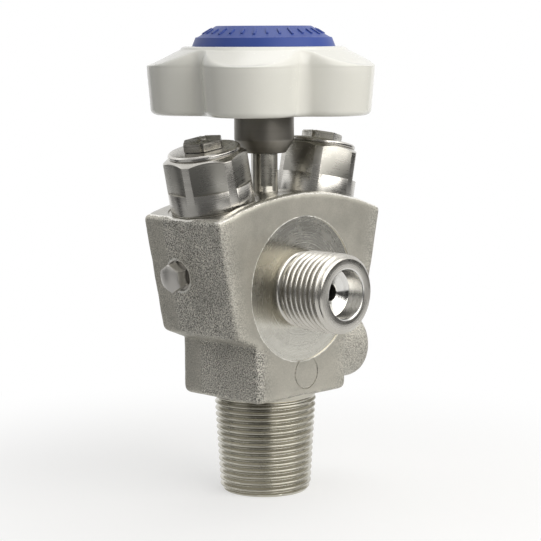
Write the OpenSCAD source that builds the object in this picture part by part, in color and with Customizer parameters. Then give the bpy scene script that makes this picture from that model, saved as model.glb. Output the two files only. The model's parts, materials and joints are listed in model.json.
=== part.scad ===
// Gas cylinder valve with a lobed handwheel, two canted key-operated units,
// a threaded side outlet, a relief device and a plug. Z is up along the inlet
// thread, the outlet faces -Y and the canted units lie along X.

/* [Inlet thread] */
// Length of the taper thread from its foot to the neck
thread_len = 28; // [22:0.5:34]
// Thread diameter where it meets the neck
thread_d = 28.8; // [26:0.1:30]
// Growth of the thread diameter per millimetre of height
thread_taper = 0.12; // [0.06:0.01:0.16]
// Chamfer on the foot of the thread
thread_chamfer = 1.2; // [0.5:0.1:2]
// Bore for the gas inlet and dip tube
inlet_d = 12; // [8:0.5:14]
// Height of the inlet bore
inlet_depth = 40; // [34:1:44]

/* [Forged body] */
// Thickness from front face to back face
body_t = 30; // [29:0.5:36]
// Width of the neck block
neck_w = 36; // [32:0.5:42]
// Height of the neck block
neck_h = 15.3; // [14:0.1:18]
// Width of the body at its lower shoulders
shoulder_w = 52; // [50:0.5:58]
// Width of the body at its top corners
top_w = 64; // [62:0.5:72]
// Height from the neck block to the top corners
side_h = 35.4; // [34:0.2:42]
// Height of the flat roof above the top corners
roof_rise = 5.9; // [5:0.1:8]
// Width of the flat part of the roof
roof_flat_w = 13; // [8:0.5:16]
// Radius of the forged edges
edge_r = 2; // [1.5:0.1:3.5]
// Thickness of the raised front lip
lip_t = 2.5; // [1.5:0.1:3]
// Height of the front lip above the roof
lip_h = 0.4; // [0.2:0.1:1.5]

/* [Side outlet] */
// Height of the outlet axis above the thread foot
outlet_z = 58.3; // [56:0.1:60]
// Diameter of the machined face round the outlet
spotface_d = 40; // [34:0.5:42]
// Depth of that face below the front of the body
spotface_depth = 0.4; // [0.2:0.1:1]
// Outside diameter of the outlet thread
outlet_d = 21.8; // [18:0.1:26]
// How far the outlet stands out of the body
outlet_len = 16; // [12:0.5:24]
// Width of the thread relief at the foot of the outlet
relief_w = 2; // [1:0.1:3]
// Depth of the thread relief
relief_depth = 1.3; // [0.5:0.1:1.8]
// Chamfer on the end of the outlet
outlet_chamfer = 1.1; // [0.5:0.1:1.5]
// Diameter of the outlet socket
socket_d = 13.4; // [10:0.1:14]
// Depth of the outlet socket
socket_depth = 5.3; // [3:0.1:8]
// Depth of the shallow cone at the bottom of the socket
socket_cone = 0.4; // [0.2:0.1:2]
// Diameter of the gas passage behind the socket
port_d = 4.4; // [3:0.1:5]

/* [Main spindle] */
// Diameter of the spindle
stem_d = 7.7; // [7.2:0.1:8.4]
// Size across the flats milled on the spindle
stem_af = 6.9; // [6:0.1:7.1]
// Angle of those flats round the spindle
stem_turn = 55; // [0:1:90]
// Distance from the roof to the start of the flats
stem_flat_start = 1.4; // [1:0.1:3]
// Diameter of the gland bush thread
gland_d = 14; // [13:0.5:15]
// Length of the gland bush
gland_len = 8.6; // [8:0.1:9]
// Thickness of the spindle collar
collar_t = 3.2; // [2:0.1:3.6]
// Diameter of the threaded seat carrier
carrier_d = 12; // [10.5:0.5:12.5]
// Length of the threaded part of the seat carrier
carrier_len = 6.5; // [5:0.1:7]
// Diameter of the carrier's nose
nose_d = 8; // [7:0.5:9]
// Height of the seat above the thread foot
seat_z = 55; // [54.4:0.1:55.5]
// Thickness of the seat disc
seat_t = 1.5; // [1:0.1:2]
// Lift of the seat when the valve is open
main_lift = 3.75; // [2:0.25:4]
// Size across the flats of the drive tang
tang_af = 5; // [4:0.1:6]

/* [Handwheel] */
// Underside of the wheel above the thread foot
wheel_z = 105.9; // [104:0.1:110]
// Height of the wheel's side wall
rim_h = 13.1; // [11:0.1:16]
// Height of the domed top above the side wall
dome_h = 5.5; // [4.5:0.1:7]
// Number of finger lobes
lobes = 5; // [4:1:6]
// Distance from the wheel axis to each lobe's centre
lobe_c = 19; // [18.5:0.1:20]
// Radius of each lobe
lobe_r = 13.4; // [12.8:0.1:14]
// Radius of the hollow between two lobes
valley_r = 3; // [2:0.1:4]
// Angle of the first lobe round the wheel axis
lobe_turn = 215; // [0:1:360]
// Thickness of the moulded walls
wall_t = 2.6; // [2:0.1:3.2]
// Number of ribs per lobe under the wheel
ribs_per_lobe = 1; // [1:1:2]
// Thickness of the ribs under the wheel
rib_t = 1.8; // [1.2:0.1:2.5]
// Diameter of the recess below the cap
recess_d = 30; // [28:0.5:32]
// Diameter of the hub
hub_d = 16.6; // [15:0.1:18]
// Diameter of the hub's lower end
hub_nose_d = 12; // [10.5:0.5:13]
// Height of the hub's cone
hub_cone = 3.55; // [2:0.05:5]
// Gap between the roof and the hub
hub_gap = 10.6; // [9:0.1:12]
// Diameter of the cap where it meets the wheel
cap_d = 39.6; // [38:0.1:41]
// Diameter of the cap's flat top
cap_top_d = 26.2; // [22:0.1:30]
// Height of the cap above the wheel
cap_h = 5.6; // [4:0.1:7]
// Height of the cap's lower band
cap_band_h = 2.5; // [1.5:0.1:3]

/* [Canted units] */
// Lean of the units away from the spindle
cant = 12.3; // [8:0.1:13]
// Distance from the spindle axis to a unit's axis at its seat
unit_x = 19.75; // [19.5:0.05:21]
// Diameter of the unit's collar
unit_d = 23; // [21:0.5:23.5]
// Height of the round collar
unit_collar_h = 5.7; // [4:0.1:7]
// Height of the hexagon
unit_hex_h = 9; // [7:0.1:10]
// Size across the flats of the hexagon
unit_af = 21; // [19:0.1:22]
// Diameter of the cover disc
cover_d = 19.8; // [17:0.1:20.5]
// Thickness of the cover disc
cover_t = 1.3; // [0.8:0.1:2]
// Size across the flats of the key hexagon
key_af = 10; // [8:0.1:11]
// Height of the key hexagon
key_h = 2.4; // [2:0.1:3]
// Angle of the large hexagon round its axis
unit_turn = 42; // [0:1:60]
// Angle of the key hexagon round its axis
key_turn = 17; // [0:1:60]
// Diameter of the unit's thread in the body
shank_d = 14; // [13:0.5:14.5]
// Length of the unit's thread in the body
shank_len = 14; // [12:0.5:15]
// Diameter of the key spindle
key_stem_d = 6; // [5:0.1:6.5]
// Diameter of the unit's seat carrier
unit_carrier_d = 10; // [9:0.1:10.4]
// Lift of a unit's seat when it is open
unit_lift = 2.5; // [1.5:0.25:2.75]

/* [Relief device] */
// Diameter of the boss
boss_d = 20.4; // [18:0.1:21]
// Distance from the valve axis to the end of the boss
boss_end = 33.3; // [31:0.1:36]
// Height of the boss axis above the thread foot
boss_z = 38.3; // [37:0.1:38.4]
// Diameter of the relief plug
relief_d = 12; // [10:0.1:13]
// Length of the relief plug
relief_len = 8; // [6:0.1:9]

/* [Side plug] */
// Size across the flats of the plug's head
plug_af = 7; // [6:0.1:8]
// How far the plug's head stands out of the body
plug_head_h = 4.1; // [3:0.1:6]
// Height of the plug above the thread foot
plug_z = 63; // [60:0.5:66]
// Distance of the plug behind the middle of the body
plug_y = 4; // [2:0.1:6]
// Diameter of the counterbore round the plug
plug_bore_d = 8.6; // [8.2:0.1:9.5]
// Diameter of the plug's thread
plug_thread_d = 5; // [4:0.1:6]
// Length of the plug's thread
plug_thread_len = 7; // [5:0.5:7.5]

/* [Hidden] */
$fn = 72;
// Radial running clearance between a moving piece and its guide
run_gap = 0.05;
// Radial clearance of a screwed-in piece
screw_gap = 0.1;
// Gap between flat faces of pieces that move past each other
face_gap = 0.1;
// Overshoot of a cut past the surface it opens
over = 1;

front_y = -body_t / 2;
neck_z = thread_len;
shoulder_z = neck_z + neck_h;
corner_z = shoulder_z + side_h;
roof_z = corner_z + roof_rise;
lip_z = roof_z + lip_h;
foot_d = thread_d - thread_taper * thread_len;

// Half width of the body's side face and its lean from the vertical
shoulder_rise = 3;
side_lean = atan((top_w - shoulder_w) / 2 / (side_h - shoulder_rise));
function side_x(z) = top_w / 2 - (corner_z - z) * tan(side_lean);

// The lip's top edge is an arc through the corners and the middle
lip_sag = lip_z - corner_z;
lip_r = (pow(top_w / 2, 2) + pow(lip_sag, 2)) / (2 * lip_sag);
function lip_edge(x) = lip_z - lip_r + sqrt(pow(lip_r, 2) - x * x);

unit_z = roof_z - (unit_x - roof_flat_w / 2) * tan(cant);
outlet_face_y = front_y + spotface_depth;
outlet_end_y = front_y - outlet_len;

// Heights along the main spindle
gland_bottom = roof_z - gland_len;
collar_top = gland_bottom - face_gap;
collar_bottom = collar_top - collar_t;
carrier_top = collar_bottom - main_lift - 4 * face_gap;
carrier_bottom = carrier_top - carrier_len;
nose_bottom = seat_z + seat_t;
tang_bottom = collar_bottom - carrier_len;
seal_groove_h = 2.4;
seal_r = 1;
hub_z = roof_z + hub_gap;
web_t = 3;
web_rise = 6.1;
web_top = wheel_z + web_rise;
washer_t = 0.8;
washer_margin = 5;
nut_h = 5;
stem_thread_d = 6;
nut_af = 10;

// Handwheel outline
lobe_step = 360 / lobes;
valley_c = lobe_c * cos(lobe_step / 2)
    + sqrt(pow(lobe_r + valley_r, 2) - pow(lobe_c * sin(lobe_step / 2), 2));
wheel_r = lobe_c + lobe_r;
rim_z = wheel_z + rim_h;
dome_z = rim_z + dome_h;
rim_chamfer = 1.2;
boss_wall = 3;
lobe_facets = 8;
valley_facets = 6;
// Half angle that a lobe's arc sweeps before the hollow's arc takes over
lobe_sweep = atan2(valley_c * sin(lobe_step / 2), valley_c * cos(lobe_step / 2) - lobe_c);
function polar(r, a) = [r * cos(a), r * sin(a)];
// Where the wheel's cone starts outside the cap, and its fall per millimetre
crown_drop = 0.8;
crown_r = cap_d / 2 + 3.2;
dome_slope = (dome_h - crown_drop) / (wheel_r - crown_r);

// Heights along a canted unit, from its seat on the body
hex_top = unit_collar_h + unit_hex_h;
cover_top = hex_top + cover_t;
key_bottom = cover_top + face_gap;
key_top = key_bottom + key_h;
key_tang_af = 4;
left_notch_turn = -60;
right_notch_turn = 0;
chamber_d = shank_d - 3.4;
chamber_top = -3;
key_collar_t = 2.5;
key_collar_bottom = chamber_top - face_gap - key_collar_t;
unit_carrier_top = key_collar_bottom - unit_lift - 4 * face_gap;
unit_carrier_len = 9;
unit_nose_h = 3;
unit_seat_t = 1.5;
unit_seat_top = unit_carrier_top - unit_carrier_len - unit_nose_h;
unit_floor = unit_seat_top - unit_seat_t;
unit_nose_step = 1;
unit_nose_d = unit_carrier_d - 2 * unit_nose_step;
key_tang_bottom = unit_carrier_top - unit_carrier_len / 2;
unit_port_d = 3;
// Middle of the floor of a unit's chamber
chamber_x = unit_x + unit_floor * sin(cant);
chamber_z = unit_z + unit_floor * cos(cant);
gasket_t = 0.6;
gasket_w = 1.6;

steel = "#b9b5ab";
turned = "#cfcbc0";
dark = "#6a665e";

// Hexagonal prism given its size across flats
module hex(af, h) cylinder(d = af / cos(30), h = h, $fn = 6);

// Ring with a rectangular section
module ring(d_out, d_in, h) difference() {
    cylinder(d = d_out, h = h);
    translate([0, 0, -over]) cylinder(d = d_in, h = h + 2 * over);
}

// O-ring round Z, centred on the given height
module o_ring(d_in, section_r, z)
    translate([0, 0, z]) rotate_extrude()
        translate([d_in / 2 + section_r, 0]) circle(r = section_r, $fn = 24);

// Solid of revolution with a rounded outer rim at its top
module round_rim(d, h, r) rotate_extrude() {
    square([d / 2 - r, h]);
    square([d / 2, h - r]);
    translate([d / 2 - r, h - r]) circle(r = r);
}

// Square bar centred on Z
module square_bar(af, h) translate([-af / 2, -af / 2, 0]) cube([af, af, h]);

// Puts a shape drawn for the right-hand unit in place, mirrored on the left
module on_unit(side) {
    if (side > 0) translate([unit_x, 0, unit_z]) rotate([0, cant, 0]) children();
    else mirror([1, 0, 0]) translate([unit_x, 0, unit_z]) rotate([0, cant, 0]) children();
}

module on_outlet() translate([0, outlet_face_y, outlet_z]) rotate([90, 0, 0]) children();
module on_boss() translate([0, 0, boss_z]) rotate([0, 90, 0]) children();
module on_side_face()
    translate([-side_x(plug_z), plug_y, plug_z]) rotate([0, -90 - side_lean, 0]) children();

// Main forged block with an arched top edge
module shoulder_block() {
    half_y = body_t / 2 - edge_r;
    top_x = top_w / 2 - edge_r;
    hull() for (y = [-half_y, half_y]) {
        for (step = [-3:3]) {
            x = top_x * step / 3;
            translate([x, y, lip_edge(x) - edge_r]) sphere(r = edge_r, $fn = 24);
        }
        for (side = [-1, 1]) {
            translate([side * (shoulder_w / 2 - edge_r), y, shoulder_z + shoulder_rise + edge_r])
                sphere(r = edge_r, $fn = 24);
            translate([side * (neck_w / 2 - edge_r), y, shoulder_z + edge_r])
                sphere(r = edge_r, $fn = 24);
        }
    }
}

module neck_block() {
    half_x = neck_w / 2 - edge_r;
    half_y = body_t / 2 - edge_r;
    hull() for (x = [-half_x, half_x], y = [-half_y, half_y]) {
        translate([x, y, neck_z + edge_r]) sphere(r = edge_r, $fn = 24);
        translate([x, y, neck_z + edge_r]) cylinder(r = edge_r, h = neck_h, $fn = 24);
    }
}

// Taper thread, drawn at its crests
module inlet_stub() {
    chamfer_top_d = foot_d + thread_taper * thread_chamfer;
    chamfer_w = 0.6 * thread_chamfer;
    cylinder(d1 = foot_d - 2 * chamfer_w, d2 = chamfer_top_d, h = thread_chamfer);
    translate([0, 0, thread_chamfer])
        cylinder(d1 = chamfer_top_d, d2 = thread_d, h = thread_len - thread_chamfer);
    translate([0, 0, thread_len]) cylinder(d = thread_d, h = edge_r);
}

module outlet_stub() {
    len = outlet_len + spotface_depth;
    r = outlet_d / 2;
    on_outlet() rotate_extrude() polygon([
        [0, -over], [r - relief_depth, -over], [r - relief_depth, relief_w - relief_depth / 2],
        [r, relief_w], [r, len - outlet_chamfer], [r - outlet_chamfer, len], [0, len]
    ]);
}

// Space above the two sloping seats and the flat roof, behind the lip
module roof_cut() {
    far_x = top_w;
    far_z = roof_z - (far_x - roof_flat_w / 2) * tan(cant);
    translate([0, body_t, 0]) rotate([90, 0, 0])
        linear_extrude(height = body_t * 3 / 2 - lip_t) polygon([
            [-far_x, far_z], [-roof_flat_w / 2, roof_z], [roof_flat_w / 2, roof_z],
            [far_x, far_z], [far_x, roof_z + top_w], [-far_x, roof_z + top_w]
        ]);
}

module main_cavity() {
    translate([0, 0, gland_bottom]) cylinder(d = gland_d + 2 * screw_gap, h = gland_len + over);
    translate([0, 0, seat_z - face_gap])
        cylinder(d = carrier_d + 2 * run_gap, h = gland_bottom - seat_z + over);
    translate([0, 0, inlet_depth - over]) cylinder(d = port_d, h = seat_z - inlet_depth + over);
}

module unit_cavity() {
    translate([0, 0, -shank_len - face_gap])
        cylinder(d = shank_d + 2 * screw_gap, h = shank_len + over);
    translate([0, 0, -gasket_t]) cylinder(d = shank_d + 2 * gasket_w, h = gasket_t + over);
    translate([0, 0, unit_floor - face_gap])
        cylinder(d = unit_carrier_d + 2 * run_gap, h = -unit_floor);
}

// Drilling from a unit's seat down to the inlet bore
module unit_drilling(side) {
    low_x = inlet_d / 4;
    low_z = inlet_depth - unit_port_d;
    reach = norm([chamber_x - low_x, chamber_z - low_z]);
    translate([side * low_x, 0, low_z])
        rotate([0, side * atan2(chamber_x - low_x, chamber_z - low_z), 0])
            cylinder(d = unit_port_d, h = reach);
}

// Drilling that joins the chambers below the two units and the main chamber
module cross_drilling() {
    cross_d = 2.4;
    reach = chamber_x - unit_carrier_d / 4;
    translate([-reach, 0, carrier_bottom - cross_d / 2]) rotate([0, 90, 0])
        cylinder(d = cross_d, h = 2 * reach);
}

module outlet_bore() {
    depth = outlet_len + spotface_depth;
    on_outlet() {
        translate([0, 0, depth - socket_depth]) cylinder(d = socket_d, h = socket_depth + over);
        translate([0, 0, depth - socket_depth - socket_cone])
            cylinder(d1 = port_d, d2 = socket_d, h = socket_cone);
        translate([0, 0, outlet_face_y]) cylinder(d = port_d, h = body_t);
    }
}

module relief_bore() on_boss() {
    translate([0, 0, boss_end - relief_len - gasket_t - washer_t])
        cylinder(d = relief_d + 2 * screw_gap, h = relief_len + over + gasket_t + washer_t);
    cylinder(d = unit_port_d, h = boss_end - relief_len);
}

module side_plug_bore() on_side_face() {
    translate([0, 0, -gasket_t - washer_t])
        cylinder(d = plug_bore_d, h = washer_t + gasket_t + over);
    translate([0, 0, -plug_thread_len - over])
        cylinder(d = plug_thread_d + 2 * screw_gap, h = plug_thread_len + over);
}

module valve_body() color(steel) difference() {
    boss_start = neck_w / 4;
    boss_rim_r = 2;
    union() {
        difference() {
            union() {
                shoulder_block();
                neck_block();
            }
            translate([0, outlet_face_y, outlet_z]) rotate([90, 0, 0])
                cylinder(d = spotface_d, h = spotface_depth + over, $fn = 120);
        }
        inlet_stub();
        outlet_stub();
        on_boss() translate([0, 0, boss_start])
            round_rim(boss_d, boss_end - boss_start, boss_rim_r);
    }
    roof_cut();
    main_cavity();
    for (side = [-1, 1]) {
        on_unit(side) unit_cavity();
        unit_drilling(side);
    }
    cross_drilling();
    outlet_bore();
    relief_bore();
    side_plug_bore();
    translate([0, 0, -over]) cylinder(d = inlet_d, h = inlet_depth + over);
}

// Spindle section with its milled flats
module stem_square(gap, h) intersection() {
    cylinder(d = stem_d + 2 * gap, h = h);
    rotate([0, 0, stem_turn]) square_bar(stem_af + 2 * gap, h);
}

module gland_bush() color(turned) difference() {
    translate([0, 0, gland_bottom]) cylinder(d = gland_d, h = gland_len);
    translate([0, 0, gland_bottom - over]) cylinder(d = stem_d + 2 * run_gap, h = gland_len + 2 * over);
    translate([0, 0, gland_bottom + gland_len / 2 - seal_groove_h / 2])
        cylinder(d = stem_d + 2 * run_gap + 4 * seal_r, h = seal_groove_h);
}

module spindle_seal() color("#2c2c2c")
    o_ring(stem_d + 2 * run_gap, seal_r, gland_bottom + gland_len / 2);

module main_spindle() color(turned) {
    translate([0, 0, tang_bottom])
        rotate([0, 0, stem_turn]) square_bar(tang_af, carrier_len + over);
    translate([0, 0, collar_bottom]) cylinder(d = carrier_d - 2 * run_gap, h = collar_t);
    translate([0, 0, collar_top - over]) cylinder(d = stem_d, h = roof_z + stem_flat_start - collar_top + over);
    translate([0, 0, roof_z]) stem_square(0, web_top - washer_t - roof_z);
    translate([0, 0, web_top - washer_t - over])
        cylinder(d = stem_thread_d, h = 2 * washer_t + over + nut_h);
}

module seat_carrier() color("#c9a95a") difference() {
    union() {
        translate([0, 0, carrier_bottom]) cylinder(d = carrier_d, h = carrier_len);
        translate([0, 0, nose_bottom]) cylinder(d = nose_d, h = carrier_bottom - nose_bottom + over);
    }
    // The pocket leaves room under the tang for the carrier's whole lift
    translate([0, 0, tang_bottom - main_lift - 3 * face_gap]) rotate([0, 0, stem_turn])
        square_bar(tang_af + 2 * run_gap, carrier_len + over);
}

module seat_disc() color("#efeadd")
    translate([0, 0, seat_z]) cylinder(d = nose_d, h = seat_t);

// Points round one lobe and the hollow after it, drawn in by the given amount
function lobe_points(mid, inset) = [
    for (k = [-lobe_facets:lobe_facets])
        polar(lobe_c, mid) + polar(lobe_r - inset, mid + lobe_sweep * k / lobe_facets)
];
function valley_points(mid, inset) = [
    for (k = [1:valley_facets - 1])
        polar(valley_c, mid + lobe_step / 2) + polar(valley_r + inset,
            mid + 180 + lobe_sweep + (lobe_step - 2 * lobe_sweep) * k / valley_facets)
];

module wheel_outline(inset) polygon([
    for (i = [0:lobes - 1]) each concat(
        lobe_points(lobe_turn + i * lobe_step, inset),
        valley_points(lobe_turn + i * lobe_step, inset)
    )
]);

// Half section of the wheel's outer form, lowered by the given amount
module wheel_section(drop) polygon([
    [0, wheel_z], [wheel_r - rim_chamfer, wheel_z], [wheel_r + over, wheel_z + rim_chamfer + over],
    [wheel_r + over, rim_z - dome_slope * over - drop], [crown_r, dome_z - crown_drop - drop],
    [crown_r - crown_drop, dome_z - drop], [0, dome_z - drop]
]);

// Space under the wheel's web, between its wall, its boss and its ribs
module wheel_hollow() difference() {
    intersection() {
        translate([0, 0, wheel_z - over]) linear_extrude(height = rim_h + dome_h) wheel_outline(wall_t);
        translate([0, 0, -rim_chamfer - over]) rotate_extrude($fn = 120)
            wheel_section(wall_t - rim_chamfer - over);
    }
    translate([0, 0, web_top - web_t]) cylinder(d = recess_d + 2 * wall_t, h = rim_h);
    translate([0, 0, wheel_z - 2 * over]) cylinder(d = hub_d + 2 * boss_wall, h = rim_h);
    wheel_ribs();
}

module handwheel() color("#f1eee4") difference() {
    intersection() {
        translate([0, 0, wheel_z - over]) linear_extrude(height = rim_h + dome_h + 2 * over)
            wheel_outline(0);
        rotate_extrude($fn = 120) wheel_section(0);
    }
    wheel_hollow();
    translate([0, 0, web_top]) cylinder(d = recess_d, h = dome_z);
    translate([0, 0, wheel_z - over]) cylinder(d = hub_d + 2 * screw_gap, h = rim_h);
}

// Radial ribs under the wheel, a little above its lower edge
module wheel_ribs() {
    rib_drop = 1.5;
    count = lobes * ribs_per_lobe;
    for (i = [0:count - 1]) rotate([0, 0, lobe_turn + (i + 0.5) * 360 / count])
        translate([hub_d / 2, -rib_t / 2, wheel_z + rib_drop]) cube([wheel_r, rib_t, rim_h]);
}

module wheel_hub() color(dark) difference() {
    union() {
        translate([0, 0, hub_z]) cylinder(d1 = hub_nose_d, d2 = hub_d, h = hub_cone);
        translate([0, 0, hub_z + hub_cone]) cylinder(d = hub_d, h = web_top - hub_z - hub_cone);
    }
    translate([0, 0, hub_z - over]) stem_square(run_gap, web_top - hub_z + 2 * over);
}

module wheel_washer() color(turned) translate([0, 0, web_top])
    ring(recess_d - 2 * washer_margin, stem_thread_d + 2 * screw_gap, washer_t);

module wheel_nut() color(turned) translate([0, 0, web_top + washer_t]) difference() {
    hex(nut_af, nut_h - washer_t);
    translate([0, 0, -over]) cylinder(d = stem_thread_d + 2 * run_gap, h = nut_h + over);
}

module wheel_cap() color("#3f55a5") {
    band_fall = 1;
    step_w = 0.5;
    skirt_wall = 1.6;
    skirt_h = 4;
    skirt_d = recess_d - 2 * run_gap;
    translate([0, 0, dome_z]) rotate_extrude($fn = 120) polygon([
        [0, 0], [cap_d / 2, 0], [cap_d / 2 - band_fall, cap_band_h],
        [cap_d / 2 - band_fall - step_w, cap_band_h], [cap_top_d / 2, cap_h], [0, cap_h]
    ]);
    translate([0, 0, dome_z - skirt_h]) ring(skirt_d, skirt_d - 2 * skirt_wall, skirt_h);
}

// Canted unit, drawn on the right-hand unit's axis from its seat upwards
module bonnet() color(turned) {
    chamfer = 1.2;
    chamfer_w = 1.5 * chamfer;
    difference() {
        union() {
            cylinder(d = unit_d, h = unit_collar_h);
            intersection() {
                rotate([0, 0, unit_turn]) hex(unit_af, hex_top);
                union() {
                    cylinder(d = unit_d, h = hex_top - chamfer);
                    translate([0, 0, hex_top - chamfer])
                        cylinder(d1 = unit_d, d2 = unit_d - 2 * chamfer_w, h = chamfer);
                }
            }
            translate([0, 0, -shank_len]) cylinder(d = shank_d, h = shank_len + over);
        }
        translate([0, 0, -shank_len - over]) cylinder(d = key_stem_d + 2 * run_gap, h = 2 * shank_len + hex_top);
        translate([0, 0, -shank_len - over]) cylinder(d = chamber_d, h = shank_len + chamber_top + over);
        translate([0, 0, unit_collar_h - seal_groove_h / 2])
            cylinder(d = key_stem_d + 2 * run_gap + 4 * seal_r, h = seal_groove_h);
    }
}

module bonnet_gasket() color("#d9d4c4") translate([0, 0, -gasket_t])
    ring(shank_d + 2 * gasket_w, shank_d + 2 * screw_gap, gasket_t);

module cover_disc() color(turned) translate([0, 0, hex_top])
    ring(cover_d, key_stem_d + 2 * run_gap, cover_t);

// Key hexagon with two notched corners, turned by the given angle from its first corner
module key_hex(notch_turn) color(dark) difference() {
    hole_d = 2;
    notch_w = 1;
    notch_depth = 0.2;
    translate([0, 0, key_bottom]) rotate([0, 0, key_turn]) hex(key_af, key_h);
    translate([0, 0, key_bottom - over]) rotate([0, 0, key_turn])
        square_bar(key_tang_af + 2 * run_gap, key_h / 2 + over);
    cylinder(d = hole_d, h = key_top + over);
    for (turn = [0, 180]) rotate([0, 0, key_turn + notch_turn + turn])
        translate([key_af / 2 - notch_depth, -notch_w / 2, key_bottom - over])
            cube([key_af, notch_w, key_h + 2 * over]);
}

module key_spindle() color(turned) {
    translate([0, 0, chamber_top - over]) cylinder(d = key_stem_d, h = key_bottom - chamber_top + over);
    translate([0, 0, key_bottom - over]) rotate([0, 0, key_turn])
        square_bar(key_tang_af, key_h / 2 + over - face_gap);
    translate([0, 0, key_collar_bottom]) cylinder(d = chamber_d - 2 * run_gap, h = key_collar_t);
    translate([0, 0, key_tang_bottom]) square_bar(key_tang_af, key_collar_bottom - key_tang_bottom + over);
}

module unit_seal() color("#2c2c2c") o_ring(key_stem_d + 2 * run_gap, seal_r, unit_collar_h);

module unit_carrier() color("#c9a95a") difference() {
    union() {
        translate([0, 0, unit_carrier_top - unit_carrier_len])
            cylinder(d = unit_carrier_d, h = unit_carrier_len);
        translate([0, 0, unit_seat_top]) cylinder(d = unit_nose_d, h = unit_nose_h + over);
    }
    // The pocket leaves room under the tang for the carrier's whole lift
    translate([0, 0, key_tang_bottom - unit_lift - 3 * face_gap])
        square_bar(key_tang_af + 2 * run_gap, unit_carrier_len);
}

module unit_seat() color("#efeadd")
    translate([0, 0, unit_floor]) cylinder(d = unit_nose_d, h = unit_seat_t);

module relief_plug() color(turned) on_boss() difference() {
    sunk = 0.5;
    translate([0, 0, boss_end - relief_len]) cylinder(d = relief_d, h = relief_len - sunk);
    translate([0, 0, boss_end - relief_len / 2]) hex(relief_d / 2, relief_len);
    translate([0, 0, boss_end - relief_len - over]) cylinder(d = unit_port_d, h = relief_len);
}

module bursting_disc() color("#b8862f") on_boss()
    translate([0, 0, boss_end - relief_len - washer_t]) cylinder(d = relief_d, h = washer_t);

module relief_gasket() color("#d9d4c4") on_boss()
    translate([0, 0, boss_end - relief_len - washer_t - gasket_t])
        ring(relief_d, unit_port_d, gasket_t);

// Hexagon-headed plug whose end is domed
module side_plug() color(turned) on_side_face() {
    dome_r = 8;
    intersection() {
        translate([0, 0, -gasket_t]) hex(plug_af, plug_head_h + gasket_t);
        translate([0, 0, plug_head_h - dome_r]) sphere(r = dome_r);
    }
    translate([0, 0, -plug_thread_len]) cylinder(d = plug_thread_d, h = plug_thread_len);
}

module side_plug_washer() color(turned) on_side_face() {
    rim_gap = 0.3;
    translate([0, 0, -gasket_t - washer_t])
        ring(plug_bore_d - 2 * rim_gap, plug_thread_d + 2 * screw_gap, washer_t);
}

valve_body();
gland_bush();
spindle_seal();
main_spindle();
seat_carrier();
seat_disc();
handwheel();
wheel_hub();
wheel_washer();
wheel_nut();
wheel_cap();
on_unit(-1) bonnet();  // left_bonnet
on_unit(-1) bonnet_gasket();  // left_gasket
on_unit(-1) cover_disc();  // left_cover
on_unit(-1) key_hex(left_notch_turn);  // left_key_hex
on_unit(-1) key_spindle();  // left_key_spindle
on_unit(-1) unit_seal();  // left_seal
on_unit(-1) unit_carrier();  // left_carrier
on_unit(-1) unit_seat();  // left_seat
on_unit(1) bonnet();  // right_bonnet
on_unit(1) bonnet_gasket();  // right_gasket
on_unit(1) cover_disc();  // right_cover
on_unit(1) key_hex(right_notch_turn);  // right_key_hex
on_unit(1) key_spindle();  // right_key_spindle
on_unit(1) unit_seal();  // right_seal
on_unit(1) unit_carrier();  // right_carrier
on_unit(1) unit_seat();  // right_seat
relief_plug();
relief_gasket();
bursting_disc();
side_plug();
side_plug_washer();
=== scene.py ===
"""Dresses the gas cylinder valve in forged and turned steel and moulded plastic, and lights it in a plain studio."""

import json
import logging
import math
from collections.abc import Callable, Sequence
from dataclasses import dataclass, field
from enum import Enum

import bmesh
import bpy
import numpy as np
from mathutils import Matrix, Vector, kdtree, noise


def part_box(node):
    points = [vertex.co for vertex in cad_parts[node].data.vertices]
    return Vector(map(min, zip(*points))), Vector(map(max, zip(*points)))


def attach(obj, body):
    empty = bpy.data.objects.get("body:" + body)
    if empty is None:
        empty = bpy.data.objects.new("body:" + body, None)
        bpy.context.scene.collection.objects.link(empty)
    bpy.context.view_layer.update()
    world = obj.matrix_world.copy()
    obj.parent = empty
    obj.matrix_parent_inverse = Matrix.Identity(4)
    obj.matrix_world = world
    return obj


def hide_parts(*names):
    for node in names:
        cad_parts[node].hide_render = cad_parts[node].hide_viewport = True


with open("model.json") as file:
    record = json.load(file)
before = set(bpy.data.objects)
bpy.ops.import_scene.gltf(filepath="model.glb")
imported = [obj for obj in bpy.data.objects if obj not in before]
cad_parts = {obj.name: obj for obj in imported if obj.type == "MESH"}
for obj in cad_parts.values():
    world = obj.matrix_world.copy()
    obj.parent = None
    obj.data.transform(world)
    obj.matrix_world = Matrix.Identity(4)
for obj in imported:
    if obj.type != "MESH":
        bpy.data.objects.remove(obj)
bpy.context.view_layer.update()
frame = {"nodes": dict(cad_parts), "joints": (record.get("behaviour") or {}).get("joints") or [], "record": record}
MM = 0.001
TAU = 2 * math.pi
LOG = logging.getLogger("valve")
Piece = bpy.types.Object
Material = bpy.types.Material
Triple = tuple[float, float, float]


class Cut(Enum):
    """How one solid is combined with another."""

    TAKE_AWAY = "DIFFERENCE"
    JOIN = "UNION"


class Side(Enum):
    """The two canted units, by the way that each leans."""

    LEFT = -1
    RIGHT = 1

    @property
    def word(self) -> str:
        """The start of the unit's node names."""
        return self.name.lower()


def put_in_scene(name: str, data: bpy.types.ID) -> Piece:
    """Makes an object of some data and links it to the scene.

    Args:
        name: The object's name.
        data: Its mesh, lamp or camera.

    Returns:
        The new object.
    """
    made = bpy.data.objects.new(name, data)
    bpy.context.scene.collection.objects.link(made)
    return made


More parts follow.
